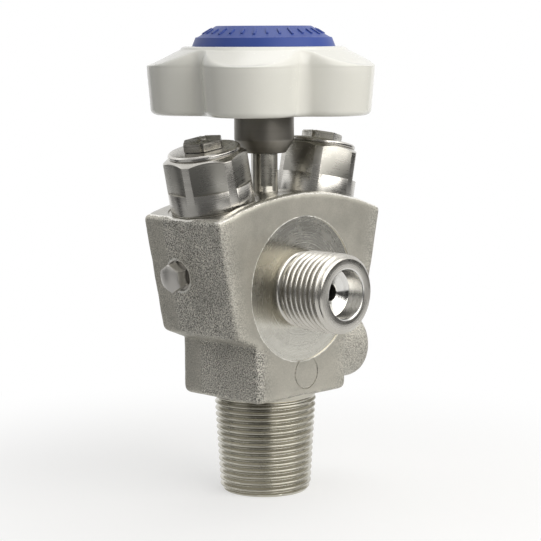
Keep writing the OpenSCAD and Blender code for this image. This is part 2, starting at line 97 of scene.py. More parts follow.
@dataclass
class Form:
    """A mesh in the making, in millimetres: its points and its faces."""

    points: np.ndarray
    faces: list[tuple[int, ...]]

    def moved(self, matrix: Matrix) -> "Form":
        """Returns the form placed by a matrix, turned inside out again if the matrix mirrors it.

        Args:
            matrix: The placement, in millimetres.

        Returns:
            The placed form.
        """
        m = np.array(matrix)
        points = self.points @ m[:3, :3].T + m[:3, 3]
        mirrored = matrix.determinant() < 0
        faces = [f[::-1] for f in self.faces] if mirrored else list(self.faces)
        return Form(points, faces)

    def with_form(self, other: "Form") -> "Form":
        """Returns both forms as one, without joining their surfaces.

        Args:
            other: The form to add.

        Returns:
            The two together.
        """
        start = len(self.points)
        faces = self.faces + [tuple(i + start for i in f) for f in other.faces]
        return Form(np.vstack([self.points, other.points]), faces)

    def as_object(self, name: str, finishes: Sequence[Material] = ()) -> Piece:
        """Makes a Blender object of the form, still in millimetres.

        Args:
            name: The object's name.
            finishes: Materials for its slots.

        Returns:
            The new object, linked to the scene.
        """
        mesh = bpy.data.meshes.new(name)
        mesh.from_pydata(self.points.tolist(), [], self.faces)
        mesh.validate()
        for finish in finishes:
            mesh.materials.append(finish)
        return put_in_scene(name, mesh)


def soften(corners: Sequence[tuple[float, float]], radius: float, steps: int = 3) -> list[tuple[float, float]]:
    """Rounds the corners of a closed section.

    Args:
        corners: The section's corners as (radius, height).
        radius: How far from a corner the rounding starts, limited by the sides.
        steps: Points per rounded corner.

    Returns:
        The section's points, with corners on the axis left sharp.
    """
    made = []
    count = len(corners)
    for i, corner in enumerate(corners):
        here = Vector(corner)
        before, after = Vector(corners[i - 1]), Vector(corners[(i + 1) % count])
        if here.x < 1e-6:
            made.append(corner)
            continue
        back, ahead = before - here, after - here
        start = here + back.normalized() * min(radius, 0.4 * back.length)
        end = here + ahead.normalized() * min(radius, 0.4 * ahead.length)
        for k in range(steps + 1):
            t = k / steps
            point = start * (1 - t) ** 2 + here * 2 * t * (1 - t) + end * t * t
            made.append((point.x, point.y))
    return made


def strips(rows: int, around: int, wrap: bool = False) -> list[tuple[int, ...]]:
    """Lists the faces between loops of as many points each.

    Args:
        rows: How many loops there are.
        around: Points in each.
        wrap: Whether the last loop joins the first.

    Returns:
        The faces.
    """
    faces = []
    for row in range(rows if wrap else rows - 1):
        low, high = row * around, (row + 1) % rows * around
        for k in range(around):
            n = (k + 1) % around
            faces.append((low + k, low + n, high + n, high + k))
    return faces


def loft(loops: Sequence[np.ndarray], wrap: bool = False) -> Form:
    """Skins a stack of loops that have as many points each.

    Args:
        loops: The loops, each an array of points that runs anticlockwise about the stack's way.
        wrap: Whether the last loop joins the first, and otherwise the ends are closed flat.

    Returns:
        The closed form.
    """
    around, rows = len(loops[0]), len(loops)
    faces = strips(rows, around, wrap)
    if not wrap:
        faces.append(tuple(range(around))[::-1])
        faces.append(tuple(range((rows - 1) * around, rows * around)))
    return Form(np.vstack(loops), faces)


def round_angles(count: int) -> np.ndarray:
    """Returns as many even angles round a circle, in radians."""
    return np.arange(count) * TAU / count


def circle(radius: float | np.ndarray, height: float, segments: int) -> np.ndarray:
    """Returns points round the Z axis at a height, and at one radius or one for each."""
    angles = round_angles(segments)
    return np.column_stack([radius * np.cos(angles), radius * np.sin(angles), np.full(segments, height)])


def lathe(section: Sequence[tuple[float, float]], segments: int = 128) -> Form:
    """Turns a closed section round the Z axis.

    Args:
        section: Points as (radius, height), anticlockwise in the plane of radius and height. A section that
            starts and ends on the axis makes a solid, and any other makes a ring.
        segments: Faces round the axis.

    Returns:
        The closed form.
    """
    on_axis = section[0][0] < 1e-6 and section[-1][0] < 1e-6
    if not on_axis:
        return loft([circle(r, z, segments) for r, z in section], wrap=True)
    rings = section[1:-1]
    points = np.vstack([circle(r, z, segments) for r, z in rings] + [[[0, 0, section[0][1]], [0, 0, section[-1][1]]]])
    first, last = len(points) - 2, len(points) - 1
    faces = strips(len(rings), segments)
    top = (len(rings) - 1) * segments
    for k in range(segments):
        n = (k + 1) % segments
        faces.append((n, k, first))
        faces.append((top + k, top + n, last))
    return Form(points, faces)


def rounded_lathe(section: Sequence[tuple[float, float]], radius: float, segments: int, steps: int = 3) -> Form:
    """Turns a solid round the Z axis, from a section that starts and ends there, with its other corners rounded.

    Args:
        section: Its corners as (radius, height).
        radius: How far from a corner the rounding starts.
        segments: Faces round the axis.
        steps: Points per rounded corner.

    Returns:
        The closed form.
    """
    return lathe([section[0]] + soften(section[1:-1], radius, steps) + [section[-1]], segments)


def rod(radius: float, low: float, high: float, segments: int = 96) -> Form:
    """Returns a plain cylinder on the Z axis, for cutting."""
    return lathe([(0, low), (radius, low), (radius, high), (0, high)], segments)


def spin(turn: float) -> Matrix:
    """Returns a turn round the Z axis, in degrees."""
    return Matrix.Rotation(math.radians(turn), 4, "Z")


def lying(about: str, x: float, y: float, z: float) -> Matrix:
    """Returns a place with its Z laid over: towards +X when turned about "Y", and towards -Y when about "X"."""
    return Matrix.Translation((x, y, z)) @ Matrix.Rotation(math.pi / 2, 4, about)


def hex_ring(across_flats: float, outer: float, low: float, high: float, turn: float) -> Form:
    """Returns what is cut off round a hexagon, as a six-sided ring.

    Args:
        across_flats: Size of the hexagon that stays.
        outer: Outer radius of the ring.
        low: Its lower height.
        high: Its upper height.
        turn: Angle of the hexagon's first corner, in degrees.

    Returns:
        The ring.
    """
    corner = corner_radius(across_flats)
    ring = lathe([(corner, low), (outer, low), (outer, high), (corner, high)], 6)
    return ring.moved(spin(turn))


def corner_radius(across_flats: float) -> float:
    """Returns the radius of a hexagon's corners."""
    return across_flats / 2 / math.cos(math.radians(30))


def block(size: Sequence[float], centre: Sequence[float], turn: float = 0) -> Form:
    """Returns a box, turned round the Z axis.

    Args:
        size: Its lengths along X, Y and Z.
        centre: The middle of the box before the turn.
        turn: The turn, in degrees.

    Returns:
        The box.
    """
    half = np.array(size) / 2
    low = np.array([[-1, -1, 0], [1, -1, 0], [1, 1, 0], [-1, 1, 0]]) * half
    rise = np.array([0, 0, half[2]])
    form = loft([low - rise + centre, low + rise + centre])
    return form.moved(spin(turn))


def ball_hull(balls: Sequence[tuple[float, float, float, float]]) -> Form:
    """Returns the tight skin round some balls.

    Args:
        balls: Each ball's centre and radius, as (x, y, z, radius).

    Returns:
        The skin, as a closed form.
    """
    shell = bmesh.new()
    for x, y, z, radius in balls:
        bmesh.ops.create_uvsphere(shell, u_segments=20, v_segments=12, radius=radius,
                                  matrix=Matrix.Translation((x, y, z)))
    found = bmesh.ops.convex_hull(shell, input=shell.verts)
    loose = set(found["geom_interior"]) | set(found["geom_unused"])
    bmesh.ops.delete(shell, geom=[v for v in loose if isinstance(v, bmesh.types.BMVert)], context="VERTS")
    keep = {f for f in found["geom"] if isinstance(f, bmesh.types.BMFace)}
    bmesh.ops.delete(shell, geom=[f for f in shell.faces if f not in keep], context="FACES_ONLY")
    shell.verts.index_update()
    form = Form(np.array([v.co for v in shell.verts]), [tuple(v.index for v in f.verts) for f in shell.faces])
    shell.free()
    return form


def settle_modifiers(piece: Piece) -> None:
    """Turns a piece's modifiers into mesh.

    Args:
        piece: The piece to change.
    """
    graph = bpy.context.evaluated_depsgraph_get()
    old = piece.data
    piece.data = bpy.data.meshes.new_from_object(piece.evaluated_get(graph), depsgraph=graph)
    piece.modifiers.clear()
    bpy.data.meshes.remove(old)


def combine(piece: Piece, tool: Form, how: Cut, slot: int = 0) -> None:
    """Cuts a form out of a piece or adds it, and leaves the new surface in one material slot.

    Args:
        piece: The piece to change.
        tool: The other form.
        how: Whether it is cut away or joined.
        slot: The material slot of the surface that the tool leaves.
    """
    other = tool.as_object("tool", [m for m in piece.data.materials])
    other.data.polygons.foreach_set("material_index", [slot] * len(other.data.polygons))
    step = piece.modifiers.new("combine", "BOOLEAN")
    step.object = other
    step.operation = how.value
    step.solver = "MANIFOLD"
    settle_modifiers(piece)
    bpy.data.objects.remove(other)


def break_edges(piece: Piece, width: float, angle: float = 30) -> None:
    """Puts a small rounded bevel on a piece's sharp edges.

    Args:
        piece: The piece to change.
        width: Width of the bevel, in millimetres.
        angle: Edges that bend more than this many degrees get it.
    """
    bevel = piece.modifiers.new("broken edges", "BEVEL")
    bevel.width = width
    bevel.segments = 2
    bevel.limit_method = "ANGLE"
    bevel.angle_limit = math.radians(angle)
    settle_modifiers(piece)


def skin(mesh: bpy.types.Mesh) -> tuple[np.ndarray, np.ndarray]:
    """Returns a mesh's points and their normals, one to a row.

    Args:
        mesh: The mesh.

    Returns:
        The points and the normals.
    """
    points, normals = np.empty(len(mesh.vertices) * 3), np.empty(len(mesh.vertices) * 3)
    mesh.vertices.foreach_get("co", points)
    mesh.vertex_normals.foreach_get("vector", normals)
    return points.reshape(-1, 3), normals.reshape(-1, 3)


class Signal:
    """A number on its way through a material, on which plain arithmetic adds Math nodes."""

    def __init__(self, recipe: "Recipe", socket: bpy.types.NodeSocket) -> None:
        """Wraps an output socket of a recipe's node."""
        self.recipe = recipe
        self.socket = socket

    def math(self, operation: str, *values: "Signal | float") -> "Signal":
        """Adds a Math node.

        Args:
            operation: The node's operation.
            values: Its inputs in order.

        Returns:
            The node's result.
        """
        return self.recipe.node("ShaderNodeMath", {"operation": operation}, dict(enumerate(values)))

    def __add__(self, other: "Signal | float") -> "Signal":
        """Sum."""
        return self.math("ADD", self, other)

    def __radd__(self, other: float) -> "Signal":
        """Sum with a number on the left."""
        return self.math("ADD", other, self)

    def __sub__(self, other: "Signal | float") -> "Signal":
        """Difference."""
        return self.math("SUBTRACT", self, other)

    def __rsub__(self, other: float) -> "Signal":
        """Difference from a number."""
        return self.math("SUBTRACT", other, self)

    def __mul__(self, other: "Signal | float") -> "Signal":
        """Product."""
        return self.math("MULTIPLY", self, other)

    def __rmul__(self, other: float) -> "Signal":
        """Product with a number on the left."""
        return self.math("MULTIPLY", other, self)

    def clamped(self) -> "Signal":
        """The value held between 0 and 1."""
        return self.recipe.node("ShaderNodeClamp", {}, {"Value": self})

    def between(self, low: float, high: float) -> "Signal":
        """0 below low, 1 above high, and smooth between them."""
        settings = {"interpolation_type": "SMOOTHSTEP"}
        return self.recipe.node("ShaderNodeMapRange", settings, {"Value": self, "From Min": low, "From Max": high})


@dataclass(frozen=True)
class Axis:
    """The line that a piece was turned about: a point on it in millimetres, and its way."""

    point: Triple = (0.0, 0.0, 0.0)
    way: Triple = (0.0, 0.0, 1.0)


def axis_of(place: Matrix) -> Axis:
    """Returns the line that a place's Z runs along."""
    return Axis(tuple(place.translation), tuple(place.to_3x3() @ Vector((0, 0, 1))))


class Recipe:
    """A node tree under construction, with short ways to the nodes that the finishes share."""

    def __init__(self, tree: bpy.types.NodeTree) -> None:
        """Starts from an empty tree."""
        self.tree = tree
        tree.nodes.clear()

    def node(self, kind: str, settings: dict | None = None, values: dict | None = None,
             output: int | str = 0) -> Signal:
        """Adds a node.

        Args:
            kind: The node's type name.
            settings: Its properties, set before its sockets. A ramp's stops are (place, colour) pairs.
            values: What goes into its sockets, by name or number: a signal, a number, a colour or a vector.
            output: The output to return, by name or number.

        Returns:
            The wanted output.
        """
        made = self.tree.nodes.new(kind)
        for name, value in (settings or {}).items():
            if name == "stops":
                ramp = made.color_ramp
                while len(ramp.elements) < len(value):
                    ramp.elements.new(0.5)
                for element, (place, colour) in zip(ramp.elements, value):
                    element.position = place
                    element.color = (*colour, 1)
            else:
                setattr(made, name, value)
        for name, value in (values or {}).items():
            if isinstance(value, Signal):
                self.tree.links.new(value.socket, made.inputs[name])
            else:
                made.inputs[name].default_value = value
        return Signal(self, made.outputs[output])

    def vector(self, operation: str, *values: "Signal | Sequence[float]", output: int = 0) -> Signal:
        """Adds a Vector Math node and returns one of its outputs, 0 for a vector and 1 for a number."""
        return self.node("ShaderNodeVectorMath", {"operation": operation}, dict(enumerate(values)), output)

    def scaled(self, vector: "Signal | Sequence[float]", by: "Signal | float") -> Signal:
        """A vector times a number."""
        return self.node("ShaderNodeVectorMath", {"operation": "SCALE"}, {0: vector, "Scale": by})

    def place(self) -> Signal:
        """The point on the piece at rest, in millimetres."""
        return self.scaled(self.node("ShaderNodeTexCoord", output="Object"), 1 / MM)

    def grain(self, size: float, detail: float = 2, stretch: Sequence[float] = (1, 1, 1), where: Signal | None = None,
              roughness: float = 0.5) -> Signal:
        """Noise from 0 to 1.

        Args:
            size: Size of its patches in millimetres.
            detail: Finer octaves on top.
            stretch: How much denser it is along X, Y and Z.
            where: The point to look it up at.
            roughness: Weight of the finer octaves.

        Returns:
            The noise.
        """
        point = self.vector("MULTIPLY", where or self.place(), tuple(s / size for s in stretch))
        return self.node("ShaderNodeTexNoise", {}, {"Vector": point, "Scale": 1.0, "Detail": detail,
                                                    "Roughness": roughness})

    def along(self, axis: Axis) -> tuple[Signal, Signal]:
        """Measures a point against the line that a piece was turned about.

        Args:
            axis: The line.

        Returns:
            The distance along the line and the distance from it, in millimetres.
        """
        way = tuple(Vector(axis.way).normalized())
        offset = self.vector("SUBTRACT", self.place(), axis.point)
        height = self.vector("DOT_PRODUCT", offset, way, output=1)
        foot = self.scaled(way, height)
        return height, self.vector("LENGTH", self.vector("SUBTRACT", offset, foot), output=1)

    def line_noise(self, value: Signal, size: float, detail: float = 1) -> Signal:
        """Noise that changes only with one number, such as a tool's feed marks."""
        return self.node("ShaderNodeTexNoise", {"noise_dimensions": "1D"},
                         {"W": value * (1 / size), "Scale": 1.0, "Detail": detail})

    def mix(self, share: "Signal | float", first: "Signal | Sequence[float]",
            second: "Signal | Sequence[float]") -> Signal:
        """Blends two colours.

        Args:
            share: Share of the second colour.
            first: The colour at 0.
            second: The colour at 1.

        Returns:
            The blend.
        """
        colours = {0: share}
        for socket, colour in ((6, first), (7, second)):
            colours[socket] = colour if isinstance(colour, Signal) else (*colour, 1)
        return self.node("ShaderNodeMix", {"data_type": "RGBA"}, colours, 2)

    def bump(self, height: Signal, normal: Signal | None = None, strength: float = 1.0) -> Signal:
        """Turns a height in millimetres into a surface normal, over an earlier bump if one is given.

        Args:
            height: The height.
            normal: The earlier bump.
            strength: How much of it shows, from 0 to 1.

        Returns:
            The normal.
        """
        values = {"Height": height, "Distance": MM, "Strength": strength}
        if normal:
            values["Normal"] = normal
        return self.node("ShaderNodeBump", {}, values)

    def seen(self) -> Signal:
        """1 for a ray from the camera, a mirror or glass, and 0 for one that carries light.

        Returns:
            The share.
        """
        kinds = ("Is Camera Ray", "Is Glossy Ray", "Is Transmission Ray")
        camera, mirrored, through = (self.node("ShaderNodeLightPath", output=kind) for kind in kinds)
        return (camera + mirrored + through).clamped()

    def close(self, shader: Signal, kind: str) -> None:
        """Ends the tree with an output node of the given type."""
        end = self.tree.nodes.new(kind)
        self.tree.links.new(shader.socket, end.inputs["Surface"])


def blank_material(name: str) -> tuple[Material, Recipe]:
    """Returns a new material and the recipe that fills it.

    Args:
        name: The material's name.

    Returns:
        The material and its empty recipe.
    """
    made = bpy.data.materials.new(name)
    made.use_nodes = True
    return made, Recipe(made.node_tree)


def surface(name: str, build: Callable[[Recipe], dict]) -> Material:
    """Makes a material from the inputs of a Principled shader.

    Args:
        name: The material's name.
        build: Returns the shader's inputs by name, worked out on the recipe that it is given.

    Returns:
        The material.
    """
    made, recipe = blank_material(name)
    recipe.close(recipe.node("ShaderNodeBsdfPrincipled", {}, build(recipe)), "ShaderNodeOutputMaterial")
    return made


@dataclass(frozen=True)
class Finish:
    """What a surface is made of, as the recipe of one material."""

    name: str

    def material(self) -> Material:
        """Builds the material."""
        return surface(self.name, self.build)

    def build(self, r: Recipe) -> dict:
        """Works out the shader's inputs. Each finish has its own."""
        raise NotImplementedError


@dataclass(frozen=True)
class ForgedSteel(Finish):
    """Blasted forging: a fine grey speckle over a slightly uneven surface, bright where a tool broke the edge and
    where a highlight is painted.

    It reads two point attributes: how coarse the skin is, and where it is bright, which holds both the torn edges and
    a painted highlight on the lip's upward faces.
    """

    name: str = "forged_steel"
    colour: Triple = (0.525, 0.502, 0.437)
    pale: Triple = (0.88, 0.85, 0.77)
    dark: Triple = (0.15, 0.145, 0.13)
    # Colour of the torn edges, and of the painted highlight on the lip's upward faces.
    torn: Triple = (0.88, 0.86, 0.8)

    def build(self, r: Recipe) -> dict:
        """Works out the shader's inputs.

        Args:
            r: The recipe to work on.

        Returns:
            The inputs by name.
        """
        coarse = r.node("ShaderNodeAttribute", {"attribute_name": "coarse"}, output="Fac")
        edge = r.node("ShaderNodeAttribute", {"attribute_name": "torn"}, output="Fac")
        speck = r.grain(0.36, 3, roughness=0.75)
        fine = r.grain(0.22, 2)
        cloud = r.grain(9, 3)
        # Bright torn edges, plus a painted highlight on the lip's upward faces, both read from one point attribute.
        torn = (edge * (r.grain(0.8, 3, roughness=0.7) * 2.6 - 0.45)).between(0.3, 0.62)
        dots = speck.between(0.4, 0.6)
        base = r.mix(dots, self.dark, self.pale)
        calm = r.mix(0.08 + 0.8 * coarse, self.colour, base)
        tint = r.mix(cloud.between(0.35, 0.7) * 0.2, calm, self.dark)
        grit = (speck * 0.2 + fine * 0.06) * (0.12 + coarse * 1.2)
        return {
            "Base Color": r.mix(torn, tint, self.torn),
            "Metallic": 1.0,
            "Roughness": 0.52 + coarse * 0.06 + (fine - 0.5) * 0.2 - torn * 0.24,
            "Normal": r.bump(grit),
        }


@dataclass(frozen=True)
class TurnedSteel(Finish):
    """Steel off the lathe: fine feed marks round its axis, and faint handling smears."""

    name: str = "turned_steel"
    axis: Axis = Axis()
    colour: Triple = (0.66, 0.64, 0.6)
    shade: Triple = (0.52, 0.5, 0.46)
    roughness: float = 0.27
    feed: float = 0.22
    groove: float = 0.012

    def build(self, r: Recipe) -> dict:
        """Works out the shader's inputs.

        Args:
            r: The recipe to work on.

        Returns:
            The inputs by name.
        """
        height, radius = r.along(self.axis)
        marks = r.line_noise(height, self.feed, 2) + r.line_noise(radius, self.feed, 2)
        bands = r.line_noise(height + radius, self.feed * 9, 2)
        smear = r.grain(5, 3).between(0.4, 0.75)
        return {
            "Base Color": r.mix(bands.between(0.3, 0.8) * 0.6 + smear * 0.2, self.colour, self.shade),
            "Metallic": 1.0,
            "Roughness": self.roughness + (marks - 1) * 0.12 + smear * 0.07,
            "Normal": r.bump(marks * self.groove + r.grain(0.35, 2) * 0.002),
        }


@dataclass(frozen=True)
class MilledSteel(Finish):
    """Flats and hexagons: straight cutter marks that lie across the piece."""

    name: str = "milled_steel"
    axis: Axis = Axis()
    colour: Triple = (0.45, 0.435, 0.395)
    shade: Triple = (0.35, 0.34, 0.305)
    roughness: float = 0.27
    mark: float = 0.3
    groove: float = 0.0025

    def build(self, r: Recipe) -> dict:
        """Works out the shader's inputs.

        Args:
            r: The recipe to work on.

        Returns:
            The inputs by name.
        """
        height, _ = r.along(self.axis)
        warped = height + (r.grain(6, 1) - 0.5) * 0.8
        marks = r.line_noise(warped, self.mark, 2)
        cloud = r.grain(3.5, 3).between(0.35, 0.75)
        return {
            "Base Color": r.mix(cloud * 0.4 + (marks - 0.5) * self.groove * 24, self.colour, self.shade),
            "Metallic": 1.0,
            "Roughness": self.roughness + (marks - 0.5) * 0.1 + cloud * 0.05,
            "Normal": r.bump(marks * self.groove + r.grain(0.3, 2) * 0.0012),
        }


@dataclass(frozen=True)
class Moulding(Finish):
    """Glossy moulded plastic with a faint orange peel and a few rubbed patches."""

    colour: Triple
    worn: Triple
    roughness: float = 0.24
    peel: float = 0.012
    coat: float = 0.25
    shine: float = 0.5

    def build(self, r: Recipe) -> dict:
        """Works out the shader's inputs.

        Args:
            r: The recipe to work on.

        Returns:
            The inputs by name.
        """
        patch = r.grain(11, 3)
        scuff = r.grain(0.9, 4, (1, 1, 3)).between(0.62, 0.8)
        return {
            "Base Color": r.mix(patch.between(0.35, 0.7) * 0.35 + scuff * 0.15, self.colour, self.worn),
            "Metallic": 0.0,
            "Roughness": self.roughness + (patch - 0.5) * 0.1 + scuff * 0.12,
            "Specular IOR Level": self.shine,
            "Coat Weight": self.coat,
            "Coat Roughness": 0.12,
            "Normal": r.bump(r.grain(2.6, 2) * self.peel + r.grain(0.5, 1) * 0.0008),
        }


@dataclass(frozen=True)
class Seal(Finish):
    """Matt rubber or seat plastic, with a fine mould texture."""

    colour: Triple
    roughness: float = 0.7

    def build(self, r: Recipe) -> dict:
        """Works out the shader's inputs.

        Args:
            r: The recipe to work on.

        Returns:
            The inputs by name.
        """
        cloud = r.grain(1.6, 3)
        darker = tuple(c * 0.75 for c in self.colour)
        return {
            "Base Color": r.mix(cloud * 0.6, self.colour, darker),
            "Metallic": 0.0,
            "Roughness": self.roughness + (cloud - 0.5) * 0.2,
            "Normal": r.bump(r.grain(0.2, 2) * 0.01),
        }


@dataclass
class Bench:
    """The finishes that several pieces share, each made once."""

    forged: Material = field(init=False)
    upright: Material = field(init=False)
    faced: Material = field(init=False)
    roof: Material = field(init=False)
    brass: Material = field(init=False)
    rubber: Material = field(init=False)
    seat: Material = field(init=False)

    def __post_init__(self) -> None:
        """Builds the materials."""
        self.forged = ForgedSteel().material()
        self.upright = TurnedSteel("turned_steel_upright").material()
        outlet = Axis(tuple(outlet_middle()), (0.0, -1.0, 0.0))
        self.faced = TurnedSteel("faced_steel", outlet, (0.68, 0.66, 0.59), (0.63, 0.61, 0.545), 0.25, 0.16,
                                 0.022).material()
        self.roof = MilledSteel("milled_roof", Axis(way=(0.2, 1.0, 0.0)), mark=0.5).material()
        self.brass = TurnedSteel("turned_brass", colour=(0.72, 0.56, 0.3), shade=(0.55, 0.4, 0.2)).material()
        self.rubber = Seal("seal_rubber", (0.035, 0.035, 0.035)).material()
        self.seat = Seal("seat_plastic", (0.8, 0.77, 0.69), 0.5).material()


def named(rows: Sequence[dict], name: str) -> dict:
    """Returns the row of that name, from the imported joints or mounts."""
    return next(row for row in rows if row["name"] == name)


def outlet_middle() -> Vector:
    """The middle of the outlet's thread, in millimetres."""
    return in_mm(named(frame["record"]["mounts"], "outlet_thread")["pos_m"])


def in_mm(point: Sequence[float]) -> Vector:
    """Brings a point of the frame from metres to millimetres."""
    return Vector(point) / MM


def span(node: str, along: int = 2) -> tuple[float, float]:
    """Returns where a solid starts and ends along an axis, 0 for X and 2 for Z, in millimetres."""
    low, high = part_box(node)
    return in_mm(low)[along], in_mm(high)[along]


def hand_over(piece: Piece, body: str, node: str, smooth_below: float = 32) -> None:
    """Brings a piece to metres, shades it, and ties it to its body and the solid that it stands for.

    Args:
        piece: The piece, in millimetres.
        body: The body that it moves with.
        node: The solid that it replaces.
        smooth_below: Edges that bend less than this many degrees are shaded smooth.
    """
    mesh = piece.data
    mesh.transform(Matrix.Scale(MM, 4))
    mesh.polygons.foreach_set("use_smooth", [True] * len(mesh.polygons))
    mesh.set_sharp_from_angle(angle=math.radians(smooth_below))
    mesh.update()
    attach(piece, body)
    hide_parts(node)
    LOG.info("%s: %d faces, on %s", piece.name, len(mesh.polygons), body)


@dataclass
class ForgedBody:
    """The forged and machined valve body, without its threads. Sizes are in millimetres.

    The waves of its uneven skin are pairs of a height and the size of its patches.
    """

    bench: Bench
    thickness: float = 30.0
    neck_width: float = 36.0
    neck_foot: float = 28.0
    shoulder: float = 43.3
    shoulder_rise: float = 3.0
    shoulder_width: float = 52.0
    corner: float = 78.7
    corner_width: float = 64.0
    lip_top: float = 85.0
    lip_thickness: float = 2.5
    roof: float = 84.6
    roof_flat: float = 13.0
    edge: float = 2.0
    arch_edge: float = 1.3
    spotface_radius: float = 20.0
    spotface_depth: float = 0.4
    boss_radius: float = 10.2
    boss_edge: float = 2.0
    boss_end: float = 33.3
    boss_height: float = 38.3
    relief_radius: float = 6.1
    relief_depth: float = 8.0
    unit_face_radius: float = 12.5
    unit_face_depth: float = 0.3
    gland_radius: float = 7.1
    plug_bore_radius: float = 4.3
    plug_bore_depth: float = 1.3
    cell: float = 0.42
    waves: tuple[tuple[float, float], ...] = ((0.11, 7.0), (0.045, 1.9))
    pit_reach: float = 4.0
    pit_depth: float = 0.4
    pit_size: float = 1.1
    tear_front: float = 0.22
    tear_side: float = 0.75
    rough_strip_back: float = 6.8
    rough_fringe: float = 6.5
    ring_radius: float = 4.6
    ring_width: float = 0.3
    ring_depth: float = 0.16
    ring_offset: float = 1.1
    ring_height: float = 34.8

    @property
    def front(self) -> float:
        """Y of the front face."""
        return -self.thickness / 2

    def lip_edge(self, x: float) -> float:
        """Height of the arched top edge at a place across the body.

        Args:
            x: The place.

        Returns:
            The height.
        """
        sag = self.lip_top - self.corner
        radius = ((self.corner_width / 2) ** 2 + sag ** 2) / (2 * sag)
        return self.lip_top - radius + math.sqrt(radius ** 2 - x * x)

    def rough(self) -> Piece:
        """Joins the forging's main forms and rounds the corners between them.

        Returns:
            The unmachined forging as one closed mesh.
        """
        e, fine = self.edge, self.arch_edge
        arch = self.corner_width / 2 - fine
        shoulder_balls, neck_balls = [], []
        for back in (-1, 1):
            y, lip_y = (back * (self.thickness / 2 - r) for r in (e, fine))
            for k in range(-4, 5):
                x = arch * k / 4
                shoulder_balls.append((x, lip_y, self.lip_edge(x) - fine, fine))
            for side in (-1, 1):
                neck_x = side * (self.neck_width / 2 - e)
                shoulder_x = side * (self.shoulder_width / 2 - e)
                shoulder_balls.append((shoulder_x, y, self.shoulder + self.shoulder_rise + e, e))
                shoulder_balls.append((neck_x, y, self.shoulder + e, e))
                neck_balls.append((neck_x, y, self.neck_foot + e, e))
                neck_balls.append((neck_x, y, self.shoulder + 2 * e, e))
        start, end, wide = 4, self.boss_end, self.boss_radius
        boss = lathe(soften([(0, start), (wide, start), (wide, end), (0, end)], self.boss_edge, 6))
        boss = boss.moved(lying("Y", 0, 0, self.boss_height))
        form = ball_hull(shoulder_balls).with_form(ball_hull(neck_balls)).with_form(boss)
        finishes = [self.bench.forged, self.bench.roof, self.bench.upright, self.bench.faced]
        piece = form.as_object("body_forging", finishes)
        remesh = piece.modifiers.new("one skin", "REMESH")
        remesh.mode = "VOXEL"
        remesh.voxel_size = self.cell
        smooth = piece.modifiers.new("forged corners", "SMOOTH")
        smooth.factor = 0.5
        smooth.iterations = 8
        settle_modifiers(piece)
        return piece

    def weather(self, piece: Piece) -> None:
        """Makes the forging's skin uneven, most of all along the neck's front left edge.

        Args:
            piece: The forging.
        """
        mesh = piece.data
        points, normals = skin(mesh)
        lift = np.empty(len(points))
        pitted = Vector((-self.neck_width / 2, self.front))
        for i, p in enumerate(points):
            v = Vector(p)
            lift[i] = sum(height * noise.noise(v / size) for height, size in self.waves)
            away = (v.xy - pitted).length
            if away < self.pit_reach and p[2] < self.shoulder:
                lift[i] -= self.pit_depth * (1 - away / self.pit_reach) * max(0.0, noise.noise(v / self.pit_size))
        mesh.vertices.foreach_set("co", (points + normals * lift[:, None]).ravel())
        mesh.update()

    def unit_place(self, side: Side) -> Matrix:
        """The place of a canted unit, with Z along its axis, mirrored on the left.

        Args:
            side: Which unit.

        Returns:
            The place, in millimetres.
        """
        joint = named(frame["joints"], "right_key_turn")
        seat, way = in_mm(joint["pos_m"]), Vector(joint["axis"])
        place = Matrix.Translation(seat) @ Matrix.Rotation(math.atan2(way.x, way.z), 4, "Y")
        return place if side is Side.RIGHT else Matrix.Diagonal((-1, 1, 1, 1)) @ place

    def plug_place(self) -> Matrix:
        """The place of the side plug, with Z out of the left face.

        Returns:
            The place, in millimetres.
        """
        low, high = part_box("side_plug_washer")
        centre = in_mm((low + high) / 2)
        lean = math.atan2(self.corner_width - self.shoulder_width,
                          2 * (self.corner - self.shoulder - self.shoulder_rise))
        turn = Matrix.Rotation(-math.pi / 2 - lean, 4, "Y")
        out = turn @ Vector((0, 0, 1))
        return Matrix.Translation(centre + out * 1.0) @ turn

    def machine(self, piece: Piece) -> None:
        """Cuts the roof, the faces and the bores into the forging.

        Args:
            piece: The forging.
        """
        joint = named(frame["joints"], "right_key_turn")
        slope = joint["axis"][0] / joint["axis"][2]
        half, far = self.roof_flat / 2, self.corner_width
        fall = self.roof - (far - half) * slope
        outline = [(-far, fall), (-half, self.roof), (half, self.roof), (far, fall), (far, self.roof + 40),
                   (-far, self.roof + 40)]
        depths = (self.thickness, self.front + self.lip_thickness)
        loops = [np.array([(x, y, z) for x, z in outline]) for y in depths]
        combine(piece, loft(loops), Cut.TAKE_AWAY, 1)
        for side in Side:
            seat = rod(self.unit_face_radius, -self.unit_face_depth, 30).moved(self.unit_place(side))
            combine(piece, seat, Cut.TAKE_AWAY, 1)
        spotface = rod(self.spotface_radius, -self.spotface_depth, 20, 160)
        combine(piece, spotface.moved(lying("X", 0, self.front, outlet_middle().z)), Cut.TAKE_AWAY, 3)
        inner, outer, deep = self.ring_radius - self.ring_width, self.ring_radius, -self.ring_depth
        ring = lathe([(inner, deep), (outer, deep), (outer, 5), (inner, 5)], 96)
        combine(piece, ring.moved(lying("X", self.ring_offset, self.front, self.ring_height)), Cut.TAKE_AWAY)
        combine(piece, rod(self.gland_radius, self.roof - 9, self.roof + 20), Cut.TAKE_AWAY, 2)
        bore = rod(self.relief_radius, self.boss_end - self.relief_depth - 1.5, self.boss_end + 5)
        combine(piece, bore.moved(lying("Y", 0, 0, self.boss_height)), Cut.TAKE_AWAY, 2)
        counterbore = rod(self.plug_bore_radius, -self.plug_bore_depth, 6).moved(self.plug_place())
        combine(piece, counterbore, Cut.TAKE_AWAY, 2)

